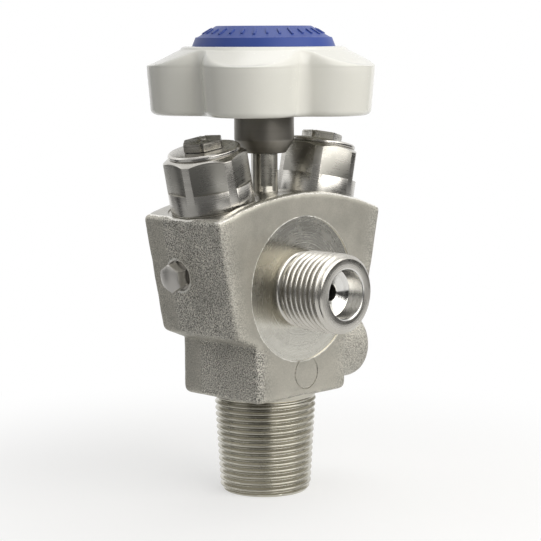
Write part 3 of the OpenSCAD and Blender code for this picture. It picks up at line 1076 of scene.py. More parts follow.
    def mark_surface(self, piece: Piece) -> None:
        """Writes where the forging is coarse, and where a cut tore its edge together with a painted highlight on the
        lip's upward faces.

        Args:
            piece: The forging.
        """
        mesh = piece.data
        points, normals = skin(mesh)
        forged, cut = set(), set()
        for face in mesh.polygons:
            (cut if face.material_index else forged).update(face.vertices)
        border = sorted(forged & cut)
        tree = kdtree.KDTree(len(border))
        for k, i in enumerate(border):
            tree.insert(points[i], k)
        tree.balance()
        torn = np.zeros(len(points), np.float32)
        for i in forged:
            reach = self.tear_front if points[i][1] < self.front + 0.3 else self.tear_side
            torn[i] = math.exp(-(tree.find(points[i])[2] / reach) ** 2)
        # Painted highlight: the lip's faces are brightened where their normal points up, on top of the torn edges.
        lip_highlight_zone = (points[:, 1] < self.front + self.lip_thickness + 0.05) & (points[:, 2] > self.corner - 2)
        torn = np.maximum(torn, lip_highlight_zone * np.clip((normals[:, 2] - 0.35) / 0.3, 0, 1) * 0.85)
        sideways = np.clip((np.abs(normals[:, 0]) - 0.45) / 0.4, 0, 1)
        below = np.clip((-normals[:, 2] - 0.3) / 0.4, 0, 1)
        behind = np.clip((points[:, 1] - self.rough_strip_back) / 0.8, 0, 1)
        slope = (self.corner_width - self.shoulder_width) / 2 / (self.corner - self.shoulder - self.shoulder_rise)
        flank = np.where(points[:, 2] < self.shoulder, self.neck_width / 2,
                         self.corner_width / 2 - (self.corner - points[:, 2]) * slope)
        fringe = np.clip(1 - (flank - np.abs(points[:, 0])) / self.rough_fringe, 0, 1) * 0.6
        coarse = np.maximum(np.maximum(sideways, fringe), below * 0.7) * (1 - 0.65 * behind)
        to_edge = np.hypot(points[:, 0] + self.neck_width / 2, points[:, 1] - self.front)
        pitted = np.clip(1.6 - to_edge / 2.6, 0, 1) * (points[:, 2] < self.shoulder - 1)
        coarse = np.maximum(coarse, pitted * 1.15)
        for name, values in (("coarse", coarse), ("torn", torn)):
            mesh.attributes.new(name, "FLOAT", "POINT").data.foreach_set("value", values.astype(np.float32))

    def build(self) -> None:
        """Makes the forging and hands it over."""
        piece = self.rough()
        self.weather(piece)
        self.machine(piece)
        self.mark_surface(piece)
        hand_over(piece, "body", "valve_body", 38)


@dataclass
class Thread:
    """A cut screw thread: a ridge that winds round Z with a rounded crest and root."""

    pitch: float = 25.4 / 14
    depth: float = 1.12
    land: float = 0.12

    def cut(self, angles: np.ndarray, height: float) -> np.ndarray:
        """How far below its crest the thread is.

        Args:
            angles: Angles round the axis, in radians.
            height: Height along the axis.

        Returns:
            The depth at each angle.
        """
        phase = (height / self.pitch - angles / TAU) % 1.0
        ramp = np.clip((np.abs(2 * phase - 1) - self.land) / (1 - 2 * self.land), 0, 1)
        round_ramp = ramp * ramp * (3 - 2 * ramp)
        return self.depth * (0.45 * ramp + 0.55 * round_ramp)


@dataclass
class InletThread:
    """The taper thread under the body, with the inlet bore."""

    thread: Thread = field(default_factory=Thread)
    length: float = 28.0
    top_radius: float = 14.4
    taper: float = 0.06
    chamfer: float = 1.2
    chamfer_width: float = 1.0
    bore: float = 6.0
    bore_depth: float = 26.0
    fade: float = 2.2
    segments: int = 180
    rows_per_pitch: int = 15

    def flank(self, height: float) -> float:
        """Radius of the plain taper at a height."""
        return self.top_radius - self.taper * (self.length - height)

    def crest(self, height: float) -> float:
        """Radius of the thread's crest at a height, with the foot's chamfer."""
        foot = self.flank(0) - self.chamfer_width
        return min(self.flank(height), foot + height * self.chamfer_width / self.chamfer)

    def build(self) -> None:
        """Makes the thread and hands it over."""
        angles = round_angles(self.segments)
        foot = ((self.bore, self.bore_depth), (self.bore, 0.4), (self.bore + 0.4, 0), (self.crest(0) - 0.15, 0))
        loops = [circle(radius, height, self.segments) for radius, height in foot]
        rows = int(self.length / self.thread.pitch * self.rows_per_pitch)
        for row in range(rows + 1):
            height = 0.05 + (self.length - 0.05) * row / rows
            fading = min(1.0, (self.length - height) / self.fade)
            radius = np.minimum(self.flank(height) - self.thread.cut(angles, height) * fading, self.crest(height))
            loops.append(circle(radius, height, self.segments))
        loops.append(circle(self.top_radius, self.length + 1.5, self.segments))
        finish = TurnedSteel("cut_thread", colour=(0.56, 0.54, 0.47), shade=(0.42, 0.4, 0.34), roughness=0.21,
                             groove=0.004).material()
        piece = loft(loops).as_object("inlet_thread", [finish])
        hand_over(piece, "body", "valve_body", 50)


@dataclass
class OutletThread:
    """The threaded side outlet with its flat-bottomed socket and gas passage."""

    thread: Thread = field(default_factory=lambda: Thread(depth=1.05))
    radius: float = 10.9
    relief: float = 2.0
    relief_depth: float = 1.3
    reach: float = 16.4
    chamfer: float = 1.1
    socket_radius: float = 6.7
    socket_depth: float = 5.3
    cone: float = 0.4
    port_radius: float = 2.2
    face: float = -14.6
    segments: int = 168
    rows_per_pitch: int = 15

    def limit(self, height: float) -> float:
        """Largest radius at a height: the relief at the foot, and the chamfer at the mouth.

        Args:
            height: Height along the outlet.

        Returns:
            The radius.
        """
        foot = self.radius - self.relief_depth + max(0.0, height - self.relief + self.relief_depth / 2)
        mouth = self.radius - self.chamfer + (self.reach - height)
        return min(self.radius, foot, mouth)

    def build(self) -> None:
        """Makes the outlet and hands it over."""
        n = self.segments
        angles = round_angles(n)
        height_z = outlet_middle().z
        root = self.radius - self.relief_depth
        loops = [circle(root + out, z, n) for out, z in ((0.7, -1), (0.7, 0), (0.25, 0.2), (0, 0.6))]
        start, end = 0.9, self.reach - 0.25
        rows = int((end - start) / self.thread.pitch * self.rows_per_pitch)
        for row in range(rows + 1):
            height = start + (end - start) * row / rows
            radius = np.minimum(self.radius - self.thread.cut(angles, height), self.limit(height))
            radius = np.maximum(radius, root - 0.02)
            loops.append(circle(radius, height, n))
        mouth = self.radius - self.chamfer
        floor = self.reach - self.socket_depth
        end, wide, port, shallow = self.reach, self.socket_radius, self.port_radius, floor - self.cone
        inside = [(mouth - 0.1, end - 0.05), (mouth - 0.35, end), (wide + 0.5, end), (wide + 0.15, end - 0.12),
                  (wide, end - 0.5), (wide, floor + 0.15), (wide - 0.15, floor), (port + 0.15, shallow),
                  (port, shallow - 0.15), (port, -0.9)]
        outer_faces = (len(loops) + 2) * n
        loops += [circle(r, z, n) for r, z in inside]
        axis = Axis((0, 0, height_z), (0, -1, 0))
        finish = TurnedSteel("turned_outlet", axis, (0.56, 0.54, 0.495), (0.46, 0.44, 0.4), 0.23, 0.3,
                             0.006).material()
        bored = TurnedSteel("bored_socket", axis, (0.72, 0.71, 0.68), (0.62, 0.61, 0.58), 0.13, 0.2, 0.03).material()
        # Painted shade: the gas passage past the socket floor is coloured near black, for the shade deep in the
        # narrow bore.
        port_shade = TurnedSteel("drilled_port", axis, (0.05, 0.048, 0.043), (0.03, 0.029, 0.026), 0.5).material()
        form = loft(loops).moved(lying("X", 0, self.face, height_z))
        piece = form.as_object("outlet_thread", [finish, bored, port_shade])
        # Faces past the socket floor take the painted-shade port finish; the socket above keeps the bored finish.
        port_faces = outer_faces + (len(inside) - 4) * n
        for face in piece.data.polygons[outer_faces:]:
            face.material_index = 1 if face.index < port_faces else 2
        hand_over(piece, "body", "valve_body", 50)


@dataclass
class Handwheel:
    """The moulded handwheel with its finger lobes, its hub, its cap and what holds it."""

    lobes: int = 5
    first_lobe: float = 215.0
    lobe_centre: float = 19.0
    lobe_radius: float = 13.4
    hollow_radius: float = 3.0
    wall: float = 2.6
    wall_height: float = 13.1
    draft: float = 0.95
    foot_round: float = 1.9
    crest_round: float = 2.4
    groove: float = 0.08
    cap_radius: float = 19.8
    crown_drop: float = 0.8
    crown_width: float = 3.2
    recess_radius: float = 15.0
    web_height: float = 6.1
    web: float = 3.0
    hub_radius: float = 8.3
    boss_wall: float = 3.0
    rib: float = 1.8

    def __post_init__(self) -> None:
        """Takes the wheel's height from the frame and works out its outline."""
        self.foot, self.top = span("handwheel")
        self.rim = self.foot + self.wall_height
        self.crown = self.cap_radius + self.crown_width
        self.wheel_radius = self.lobe_centre + self.lobe_radius
        self.fall = (self.top - self.crown_drop - self.rim) / (self.wheel_radius - self.crown)
        self.tilt = math.pi / 2 - math.atan(self.fall)
        self.crest_inset = self.crest_round * (1 - math.cos(self.tilt))
        self.half = half = math.pi / self.lobes
        reach = math.sqrt((self.lobe_radius + self.hollow_radius) ** 2 - (self.lobe_centre * math.sin(half)) ** 2)
        self.hollow_centre = self.lobe_centre * math.cos(half) + reach
        self.sweep = math.atan2(self.hollow_centre * math.sin(half),
                                self.hollow_centre * math.cos(half) - self.lobe_centre)

    def outline(self, inset: float, height: float | None = None) -> np.ndarray:
        """Points round the wheel, drawn in from its edge.

        Args:
            inset: Distance from the edge.
            height: Their height, or None to lay them on the domed top.

        Returns:
            The loop of points.
        """
        half = self.half
        points = []

        def add(centre: float, way: float, radius: float, turn: float) -> None:
            """Adds a point of an arc round a centre that lies out from the axis."""
            points.append((centre * math.cos(way) + radius * math.cos(turn),
                           centre * math.sin(way) + radius * math.sin(turn)))

        for lobe in range(self.lobes):
            middle = math.radians(self.first_lobe) + 2 * half * lobe
            for k in range(-26, 27):
                add(self.lobe_centre, middle, self.lobe_radius - inset, middle + self.sweep * k / 26)
            for k in range(1, 14):
                turn = middle + math.pi + self.sweep + 2 * (half - self.sweep) * k / 14
                add(self.hollow_centre, middle + half, self.hollow_radius + inset, turn)
        flat = np.array(points)
        heights = self.dome(np.linalg.norm(flat, axis=1)) if height is None else np.full(len(flat), height)
        return np.column_stack([flat, heights])

    def dome(self, radius: np.ndarray) -> np.ndarray:
        """Height of the domed top at a distance from the axis."""
        return self.top - self.crown_drop - self.fall * (radius - self.crown)

    def ring(self, radius: float, height: float) -> np.ndarray:
        """Points on a circle that stand at the outline's own angles.

        Args:
            radius: The circle's radius.
            height: Its height.

        Returns:
            The loop of points.
        """
        flat = self.outline(0, 0)[:, :2]
        flat = flat / np.linalg.norm(flat, axis=1)[:, None] * radius
        return np.column_stack([flat, np.full(len(flat), height)])

    def side_loops(self) -> list[np.ndarray]:
        """Loops up the outside, from the foot's inner edge over the foot and the wall to the crest.

        Returns:
            The loops in order.
        """
        r, wide = self.foot_round, self.draft
        inner = self.wall + wide * 0.5
        loops = [self.outline(inner + wide * 0.1, self.foot + 0.35), self.outline(inner, self.foot)]
        for k in range(7):
            a = math.pi / 2 * k / 6
            loops.append(self.outline(wide + r * (1 - math.sin(a)), self.foot + r * (1 - math.cos(a)) * 0.9))
        line = self.rim - 0.1
        for share in (0.3, 0.6, 0.85):
            height = self.foot + r + (line - self.foot - r) * share
            loops.append(self.outline(wide * (1 - share), height))
        loops += [self.outline(0.08, line - 0.22), self.outline(0.02 + self.groove, line),
                  self.outline(0.08, line + 0.22)]
        end = self.outline(self.crest_inset)
        wall_end = self.outline(0.05, line + 0.3)
        for k in range(1, 9):
            a = self.tilt * k / 8
            loop = self.outline(self.crest_round * (1 - math.cos(a)), 0)
            low, high = wall_end[:, 2], end[:, 2]
            loop[:, 2] = low + (high - low) * self.crest_share(k / 8)
            loops.append(loop)
        return loops

    def crest_share(self, t: float) -> float:
        """How far up between the wall and the dome a point of the crest is."""
        return math.sin(self.tilt * t) / math.sin(self.tilt)

    def top_loops(self) -> list[np.ndarray]:
        """Loops over the dome and the crown, and down into the recess.

        Returns:
            The loops in order.
        """
        crest = self.outline(self.crest_inset)
        rim = self.ring(self.crown, self.top - self.crown_drop)
        loops = []
        for k in range(1, 13):
            t = k / 12
            loop = crest * (1 - t) + rim * t
            loop[:, 2] = self.dome(np.linalg.norm(loop[:, :2], axis=1))
            loops.append(loop)
        drop, web_top = self.crown_drop, self.foot + self.web_height
        down = ((self.crown - drop * 0.35, self.top - drop * 0.5), (self.crown - drop, self.top - drop * 0.1),
                (self.crown - drop * 1.6, self.top), (self.recess_radius, self.top), (self.recess_radius, web_top),
                (self.hub_radius, web_top))
        return loops + [self.ring(radius, height) for radius, height in down]

    def under_loops(self) -> list[np.ndarray]:
        """Loops down the hub's bore and through the hollow underneath.

        Returns:
            The loops in order.
        """
        boss = self.hub_radius + self.boss_wall
        web_foot = self.foot + self.web_height - self.web
        inner = self.recess_radius + self.wall
        ceiling = self.outline(self.wall + 1.2)
        ceiling[:, 2] -= self.wall
        knee = self.outline(self.wall)
        knee[:, 2] = ceiling[:, 2] - 1.0
        crown_height = float(self.dome(np.array(self.crown)))
        under = ((self.hub_radius, self.foot + 0.3), (self.hub_radius + 0.3, self.foot), (boss - 0.4, self.foot),
                 (boss, self.foot + 0.4), (boss, web_foot - 0.8), (boss + 0.8, web_foot), (inner - 0.3, web_foot),
                 (inner, web_foot + 0.3), (inner, crown_height - self.wall + 0.6))
        return [self.ring(radius, height) for radius, height in under] + [ceiling, knee]

    def build_wheel(self) -> None:
        """Makes the wheel with its ribs and hands it over."""
        finish = Moulding("wheel_plastic", (0.89, 0.88, 0.81), (0.85, 0.84, 0.765)).material()
        loops = self.side_loops() + self.top_loops() + self.under_loops()
        piece = loft(loops, wrap=True).as_object("handwheel_moulding", [finish])
        for k in range(self.lobes):
            turn = self.first_lobe + (k + 0.5) * 360 / self.lobes
            inner, outer = self.hub_radius + 1, self.lobe_centre + 3.5
            low, high = self.foot + 1.5, self.foot + self.web_height + 3.5
            rib = block((outer - inner, self.rib, high - low), ((inner + outer) / 2, 0, (low + high) / 2), turn)
            combine(piece, rib, Cut.JOIN)
        hand_over(piece, "wheel_set", "handwheel", 40)

    def build_cap(self) -> None:
        """Makes the cap with its raised tally bars and hands it over."""
        z, r = self.top, self.cap_radius
        height, top_radius, band = 5.6, 13.1, 2.5
        step = r - 1.5
        section = [(0, z - 1), (r - 0.4, z - 1), (r, z), (r - 1.0, z + band), (step, z + band),
                   (top_radius, z + height), (top_radius - 0.7, z + height), (top_radius - 1.0, z + height - 0.25),
                   (0, z + height - 0.25)]
        finish = Moulding("cap_plastic", (0.038, 0.075, 0.32), (0.06, 0.105, 0.37), 0.42, 0.006, 0.02, 0.3).material()
        piece = rounded_lathe(section, 0.28, 192).as_object("cap_moulding", [finish])
        slope = math.atan2(height - band, step - top_radius)
        middle = (step + top_radius) / 2
        bars = 30
        for k in range(bars):
            length = 2.3 if k % 3 else 3.1
            bar = block((length, 0.65, 0.6), (0, 0, 0)).moved(Matrix.Rotation(slope, 4, "Y"))
            bar = bar.moved(Matrix.Translation((middle, 0, z + (band + height) / 2)))
            combine(piece, bar.moved(Matrix.Rotation(TAU * k / bars, 4, "Z")), Cut.JOIN)
        break_edges(piece, 0.12, 28)
        hand_over(piece, "wheel_set", "wheel_cap")

    def build_hub(self) -> None:
        """Makes the hub under the wheel and hands it over."""
        bottom, top = span("wheel_hub")
        nose, cone, bore = 6.0, 3.55, 3.6
        section = [(bore, bottom), (nose, bottom), (self.hub_radius, bottom + cone), (self.hub_radius, top - 0.1),
                   (bore, top - 0.1)]
        finish = TurnedSteel("dark_metal", colour=(0.26, 0.245, 0.215), shade=(0.2, 0.187, 0.165), roughness=0.42,
                             feed=0.35, groove=0.006).material()
        piece = lathe(soften(section, 0.22), 160).as_object("hub_sleeve", [finish])
        hand_over(piece, "wheel_set", "wheel_hub")

    def build_spindle(self) -> None:
        """Makes the spindle's visible stretch with its four milled flats and hands it over."""
        bottom, top = span("main_spindle")
        roof, flat_start = 84.6, 1.4
        radius, across, turn, tang = 3.85, 6.9, 55.0, 5.0
        collar_foot, collar_top = 72.7, 75.9
        collar, end, step = 5.9, 3.0, 111
        section = [(0, collar_foot), (collar, collar_foot), (collar, collar_top), (radius, collar_top),
                   (radius, step), (end, step), (end, top), (0, top)]
        finish = TurnedSteel("spindle_steel", colour=(0.4, 0.385, 0.34), shade=(0.31, 0.295, 0.26), roughness=0.25,
                             feed=0.25, groove=0.002).material()
        piece = rounded_lathe(section, 0.2, 96).as_object("spindle_shaft", [finish])
        drive = collar_foot + 0.5 - bottom
        combine(piece, block((tang, tang, drive), (0, 0, bottom + drive / 2), turn), Cut.JOIN)
        for k in range(4):
            slab = block((4, 12, 26), (across / 2 + 2, 0, roof + flat_start + 13), turn + 90 * k)
            combine(piece, slab, Cut.TAKE_AWAY)
        break_edges(piece, 0.1)
        hand_over(piece, "wheel_set", "main_spindle")

    def build(self) -> None:
        """Makes the wheel and everything that turns with it."""
        self.build_wheel()
        self.build_cap()
        self.build_hub()
        self.build_spindle()


@dataclass
class CantedUnit:
    """One canted unit: its bonnet nut, cover disc and key hexagon."""

    side: Side
    place: Matrix
    dark_key: bool
    collar_radius: float = 11.5
    collar: float = 5.7
    hexagon: float = 9.0
    across_flats: float = 21.0
    turn: float = 42.0
    cover_radius: float = 9.9
    cover: float = 1.3
    key_across: float = 10.0
    key: float = 2.4
    key_turn: float = 17.0
    notch_floor: float = 4.8
    gap: float = 0.1
    sunk: float = 0.3

    def __post_init__(self) -> None:
        """Finds the unit's axis."""
        self.axis = axis_of(self.place)

    @property
    def nut_top(self) -> float:
        """Height of the hexagon's top along the unit."""
        return self.collar + self.hexagon

    def build_nut(self) -> None:
        """Makes the bonnet nut and hands it over."""
        r, top, chamfer = self.collar_radius, self.nut_top, 1.2
        section = [(3.1, -self.sunk), (r - 0.25, -self.sunk), (r, 0.1), (r, top - chamfer),
                   (r - 1.5 * chamfer, top), (3.1, top)]
        turned = TurnedSteel(f"{self.side.word}_nut_turned", self.axis, (0.58, 0.56, 0.52), (0.46, 0.445, 0.41), 0.25,
                             0.3, 0.002).material()
        milled = MilledSteel(f"{self.side.word}_nut_milled", self.axis).material()
        piece = lathe(soften(section, 0.1, 2), 160).as_object(f"{self.side.word}_nut", [turned, milled])
        flats = hex_ring(self.across_flats, 20, self.collar, top + 2, self.turn)
        combine(piece, flats, Cut.TAKE_AWAY, 1)
        break_edges(piece, 0.14)
        self.put(piece)
        hand_over(piece, "body", f"{self.side.word}_bonnet")

    def put(self, piece: Piece) -> None:
        """Brings a piece to the unit's place, and turns its faces outwards again where that mirrors it.

        Args:
            piece: The piece, still on the Z axis.
        """
        piece.data.transform(self.place)
        if self.place.determinant() < 0:
            piece.data.flip_normals()

    def build_cover(self) -> None:
        """Makes the cover disc and hands it over."""
        r, low = self.cover_radius, self.nut_top
        high = low + self.cover
        section = [(3.1, low), (r - 0.2, low), (r, low + 0.25), (r, high - 0.45), (r - 0.45, high), (3.1, high)]
        finish = TurnedSteel(f"{self.side.word}_cover_steel", self.axis, roughness=0.25, feed=0.35,
                             groove=0.02).material()
        piece = lathe(soften(section, 0.12), 144).moved(self.place).as_object(f"{self.side.word}_disc", [finish])
        hand_over(piece, "body", f"{self.side.word}_cover")

    def build_key(self) -> None:
        """Makes the key hexagon with its hole and notches and hands it over."""
        low = self.nut_top + self.cover + self.gap
        high = low + self.key
        corner = corner_radius(self.key_across)
        section = [(0, low), (corner + 0.3, low), (corner + 0.3, high - 0.5), (corner - 0.35, high), (0, high)]
        shade = (0.34, 0.325, 0.29) if self.dark_key else (0.7, 0.68, 0.63)
        dim = tuple(c * 0.4 for c in shade)
        finish = MilledSteel(f"{self.side.word}_key_steel", self.axis, shade, dim, 0.26, 0.42, 0.05).material()
        piece = rounded_lathe(section, 0.08, 96, 2).as_object(f"{self.side.word}_key", [finish])
        combine(piece, hex_ring(self.key_across, 12, low - 1, high + 1, self.key_turn), Cut.TAKE_AWAY)
        hole = lathe([(0, low + 0.6), (1.0, low + 0.6), (1.0, high - 0.35), (1.45, high + 0.1), (1.45, high + 1),
                      (0, high + 1)], 48)
        combine(piece, hole, Cut.TAKE_AWAY)
        first = self.key_turn - (60 if self.side is Side.LEFT else 0)
        for turn in (first, first + 180):
            notch = block((2, 1.0, self.key + 2), (self.notch_floor + 1, 0, (low + high) / 2), turn)
            combine(piece, notch, Cut.TAKE_AWAY)
        break_edges(piece, 0.12)
        self.put(piece)
        body, slot = f"{self.side.word}_key", "dark_metal" if self.dark_key else "turned_steel"
        hand_over(piece, body, f"{self.side.word}_key_hex")

    def build(self) -> None:
        """Makes the unit's visible pieces."""
        self.build_nut()
        self.build_cover()
        self.build_key()


@dataclass
class Fittings:
    """The gland bush, the side plug and the relief plug."""

    body: ForgedBody
    bench: Bench

    def build_bush(self) -> None:
        """Makes the gland bush, flush with the roof, and hands it over."""
        bottom, top = span("gland_bush")
        section = [(3.9, bottom), (7.0, bottom), (7.0, top - 0.3), (6.7, top), (4.2, top), (3.9, top - 0.3)]
        piece = lathe(soften(section, 0.08, 2), 128).as_object("gland_ring", [self.bench.upright])
        for turn in (45, 225):
            hole = rod(0.7, top - 1.2, top + 1, 32)
            combine(piece, hole.moved(spin(turn) @ Matrix.Translation((5.5, 0, 0))), Cut.TAKE_AWAY)
        hand_over(piece, "body", "gland_bush")

    def build_side_plug(self) -> None:
        """Makes the side plug with its smooth domed end and hands it over."""
        place = self.body.plug_place()
        axis = axis_of(place)
        top, across, dome = 4.1, 7.0, 8.0
        arc = [(r, top - dome + math.sqrt(dome ** 2 - r * r)) for r in (4.05, 3.6, 3.1, 2.5, 1.8, 1.0)]
        finish = MilledSteel("plug_steel", axis, (0.6, 0.58, 0.54), (0.46, 0.44, 0.4), 0.34, 0.4).material()
        turned = TurnedSteel("plug_end", axis, (0.66, 0.64, 0.6), (0.58, 0.56, 0.52), 0.38, 0.3, 0.004).material()
        piece = lathe([(0, -1.0), (4.05, -1.0)] + arc + [(0, top)], 96).as_object(
            "side_plug_head", [turned, finish])
        combine(piece, hex_ring(across, 8, -2, top + 1, 0), Cut.TAKE_AWAY, 1)
        break_edges(piece, 0.15)
        piece.data.transform(place)
        hand_over(piece, "body", "side_plug")

    def build_relief_plug(self) -> None:
        """Makes the relief plug with its hexagon socket and hands it over."""
        start, end = span("relief_plug", 0)
        height = self.body.boss_height
        section = [(0, start), (6.0, start), (6.0, end - 0.6), (5.4, end), (0, end)]
        finish = TurnedSteel("relief_steel", Axis((0, 0, height), (1, 0, 0))).material()
        piece = rounded_lathe(section, 0.12, 96, 2).as_object("relief_plug_body", [finish])
        combine(piece, lathe([(0, end - 3.5), (3.46, end - 3.5), (3.46, end + 1), (0, end + 1)], 6), Cut.TAKE_AWAY)
        combine(piece, rod(1.5, start + 0.5, end + 1, 48), Cut.TAKE_AWAY)
        piece.data.transform(lying("Y", 0, 0, height))
        hand_over(piece, "body", "relief_plug")

    def build(self) -> None:
        """Makes the fittings."""
        self.build_bush()
        self.build_side_plug()
        self.build_relief_plug()


def dress_inner_pieces(bench: Bench) -> None:
    """Gives the solids that stay in view, most of them inside the valve, the finish of their slot.

    Args:
        bench: The shared finishes.
    """
    finishes = {"turned_steel": bench.upright, "brass": bench.brass, "seal_rubber": bench.rubber,
                "seat_plastic": bench.seat, "dark_metal": bench.upright}
    for part in frame["record"]["subparts"]:
        node = frame["nodes"][part["node"]]
        if node.hide_render:
            continue
        node.data.materials.clear()
        node.data.materials.append(finishes[part["material_slot"]])
        node.data.polygons.foreach_set("material_index", [0] * len(node.data.polygons))
        LOG.info("%s keeps its solid", node.name)


@dataclass(frozen=True)
class PhotoView:
    """The camera, in millimetres and degrees, in a square frame."""

    azimuth: float = -45.37
    distance: float = 515.0
    height: float = 128.47
    pitch: float = 7.344
    roll: float = -0.219
    focal_pixels: float = 1853.2
    sideways: float = 1.632
    frame_pixels: int = 541
    sensor: float = 36.0

    def place(self) -> None:
        """Creates the camera and makes it the scene's."""
        a, p, r = (math.radians(x) for x in (self.azimuth, self.pitch, self.roll))
        back = Vector((math.sin(a), -math.cos(a), 0))
        right = Vector((math.cos(a), math.sin(a), 0))
        ahead = -back * math.cos(p) - Vector((0, 0, math.sin(p)))
        above = right.cross(ahead)
        axes = (right * math.cos(r) + above * math.sin(r), above * math.cos(r) - right * math.sin(r), -ahead)
        data = bpy.data.cameras.new("photo_view")
        data.sensor_width = self.sensor
        data.lens = self.focal_pixels / self.frame_pixels * self.sensor
        data.clip_start, data.clip_end = 0.01, 20
        camera = put_in_scene("photo_view", data)
        matrix = Matrix(axes).transposed().to_4x4()
        matrix.translation = (back * self.distance + right * self.sideways + Vector((0, 0, self.height))) * MM
        camera.matrix_world = matrix
        bpy.context.scene.camera = camera


@dataclass(frozen=True)
class Softbox:
    """A square lamp that faces the valve. Angles are from the camera, to its right and up."""

    name: str
    turn: float
    rise: float
    away: float
    width: float
    height: float
    radiance: float
    tint: Triple = (1.0, 1.0, 1.0)


@dataclass(frozen=True)
class Card:
    """A curved card that only reflections see, between two edges given as (distance, height) in metres."""

    name: str
    turns: tuple[float, float]
    low: tuple[float, float]
    high: tuple[float, float]
    radiance: float


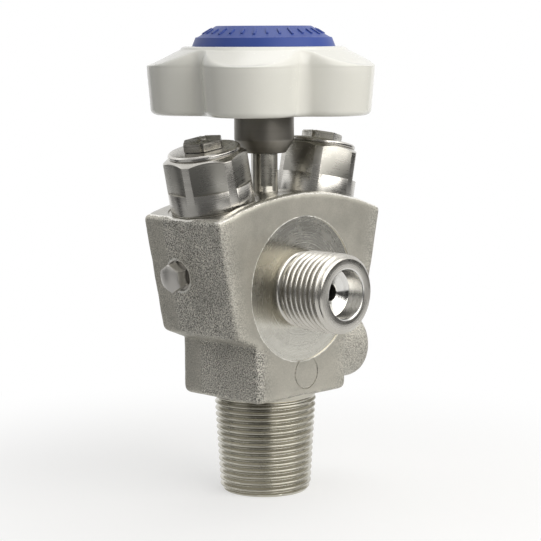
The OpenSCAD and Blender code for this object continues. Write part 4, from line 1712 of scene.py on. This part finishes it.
@dataclass
class Studio:
    """The pale floor, the lamps, and the pale and dark cards that metal needs to show its shape.

    The floor fades to white between two distances from the valve, in millimetres. Its other sizes are in metres.
    """

    view: PhotoView
    aim: Vector = field(default_factory=lambda: Vector((0, 0, 0.07)))
    ambient: float = 0.28
    floor_half: float = 4.0
    floor_drop: float = 0.00002
    floor_colour: Triple = (0.55, 0.548, 0.54)
    floor_glow: float = 0.52
    floor_fade: tuple[float, float] = (55.0, 165.0)
    lamps: tuple[Softbox, ...] = (
        Softbox("key_lamp", 50, 28, 0.75, 0.95, 0.75, 2.0, (1.0, 0.985, 0.955)),
        Softbox("top_lamp", 150, 74, 0.75, 0.6, 0.6, 1.4),
        Softbox("left_lamp", -100, 25, 0.8, 0.3, 0.6, 0.4, (0.96, 0.98, 1.0)),
    )
    cards: tuple[Card, ...] = (
        Card("camera_card", (-22, 20), (1.6, 0.0), (0.8, 1.46), 0.2),
        Card("left_card", (-80, -22), (1.6, 0.0), (0.8, 1.46), 0.52),
        Card("right_band", (30, 130), (0.42, 0.0008), (0.41, 0.145), 0.025),
        Card("front_band", (-50, 30), (0.42, 0.0008), (0.41, 0.13), 0.17),
        Card("side_band", (-86, -50), (0.42, 0.0008), (0.41, 0.13), 0.3),
        Card("left_band", (-104, -86), (0.42, 0.0008), (0.41, 0.2), 0.03),
        Card("back_band", (-135, -104), (0.42, 0.0008), (0.41, 0.13), 0.3),
        Card("front_mat", (-40, 12), (0.045, 0.0008), (0.42, 0.0008), 0.12),
        Card("left_mat", (-135, -40), (0.05, 0.0008), (0.42, 0.0008), 0.48),
        Card("far_mat", (-104, -86), (0.16, 0.001), (0.42, 0.001), 0.05),
    )

    def direction(self, turn: float, rise: float) -> Vector:
        """The way from the valve at an angle from the camera, in degrees to its right and up."""
        a, e = math.radians(self.view.azimuth + turn), math.radians(rise)
        return Vector((math.sin(a) * math.cos(e), -math.cos(a) * math.cos(e), math.sin(e)))

    def hang(self, box: Softbox) -> None:
        """Hangs a softbox.

        Args:
            box: The softbox.
        """
        data = bpy.data.lights.new(box.name, "AREA")
        data.shape, data.size, data.size_y = "RECTANGLE", box.width, box.height
        data.color = box.tint
        data.energy = box.radiance * math.pi * box.width * box.height
        lamp = put_in_scene(box.name, data)
        way = self.direction(box.turn, box.rise)
        lamp.location = self.aim + way * box.away
        lamp.rotation_mode = "QUATERNION"
        lamp.rotation_quaternion = way.to_track_quat("Z", "Y")
        lamp.visible_camera = False

    def stand(self, card: Card) -> None:
        """Stands a card round the valve.

        Args:
            card: The card.
        """
        steps = 12
        points = []
        for away, height in (card.low, card.high):
            for k in range(steps + 1):
                turn = card.turns[0] + (card.turns[1] - card.turns[0]) * k / steps
                points.append(self.direction(turn, 0) * away + Vector((0, 0, height)))
        faces = [(k, k + 1, k + steps + 2, k + steps + 1) for k in range(steps)]
        mesh = bpy.data.meshes.new(card.name)
        mesh.from_pydata(points, [], faces)
        material, recipe = blank_material(card.name)
        recipe.close(recipe.node("ShaderNodeEmission", {}, {"Strength": card.radiance}), "ShaderNodeOutputMaterial")
        mesh.materials.append(material)
        made = put_in_scene(card.name, mesh)
        made.visible_camera = made.visible_diffuse = made.visible_shadow = False

    def lay_floor(self) -> None:
        """Lays the pale floor, which looks white but keeps the valve's shadow."""
        mesh = bpy.data.meshes.new("floor")
        half = self.floor_half
        mesh.from_pydata([(-half, -half, 0), (half, -half, 0), (half, half, 0), (-half, half, 0)], [], [(0, 1, 2, 3)])
        material, recipe = blank_material("floor")
        seen = recipe.seen()
        matt = recipe.node("ShaderNodeBsdfDiffuse", {}, {"Color": (*self.floor_colour, 1)})
        glow = recipe.node("ShaderNodeEmission", {}, {"Strength": seen * self.floor_glow})
        near = recipe.node("ShaderNodeAddShader", {}, {0: matt, 1: glow})
        white = recipe.node("ShaderNodeEmission", {}, {"Strength": 1.0})
        away = recipe.vector("LENGTH", recipe.place(), output=1)
        far = away.between(*self.floor_fade) * seen
        recipe.close(recipe.node("ShaderNodeMixShader", {}, {0: far, 1: near, 2: white}), "ShaderNodeOutputMaterial")
        mesh.materials.append(material)
        floor = put_in_scene("floor", mesh)
        floor.location.z = -self.floor_drop

    def light_world(self) -> None:
        """Makes the surroundings white where they are seen, and a plain fill where they light."""
        world = bpy.data.worlds.new("surroundings")
        world.use_nodes = True
        recipe = Recipe(world.node_tree)
        strength = self.ambient + recipe.seen() * (1 - self.ambient)
        sky = recipe.node("ShaderNodeBackground", {}, {"Strength": strength, "Color": (1, 1, 1, 1)})
        recipe.close(sky, "ShaderNodeOutputWorld")
        bpy.context.scene.world = world

    def build(self) -> None:
        """Sets up the whole studio."""
        self.view.place()
        self.lay_floor()
        self.light_world()
        for box in self.lamps:
            self.hang(box)
        for card in self.cards:
            self.stand(card)
        bpy.context.scene.view_settings.view_transform = "Standard"


def main() -> None:
    """Builds the studio and every piece in order."""
    logging.basicConfig(level=logging.INFO, format="%(name)s: %(message)s")
    Studio(PhotoView()).build()
    bench = Bench()
    body = ForgedBody(bench)
    body.build()
    InletThread().build()
    OutletThread().build()
    Handwheel().build()
    for side in Side:
        CantedUnit(side, body.unit_place(side), dark_key=side is Side.LEFT).build()
    Fittings(body, bench).build()
    dress_inner_pieces(bench)


if __name__ == "__main__":
    main()
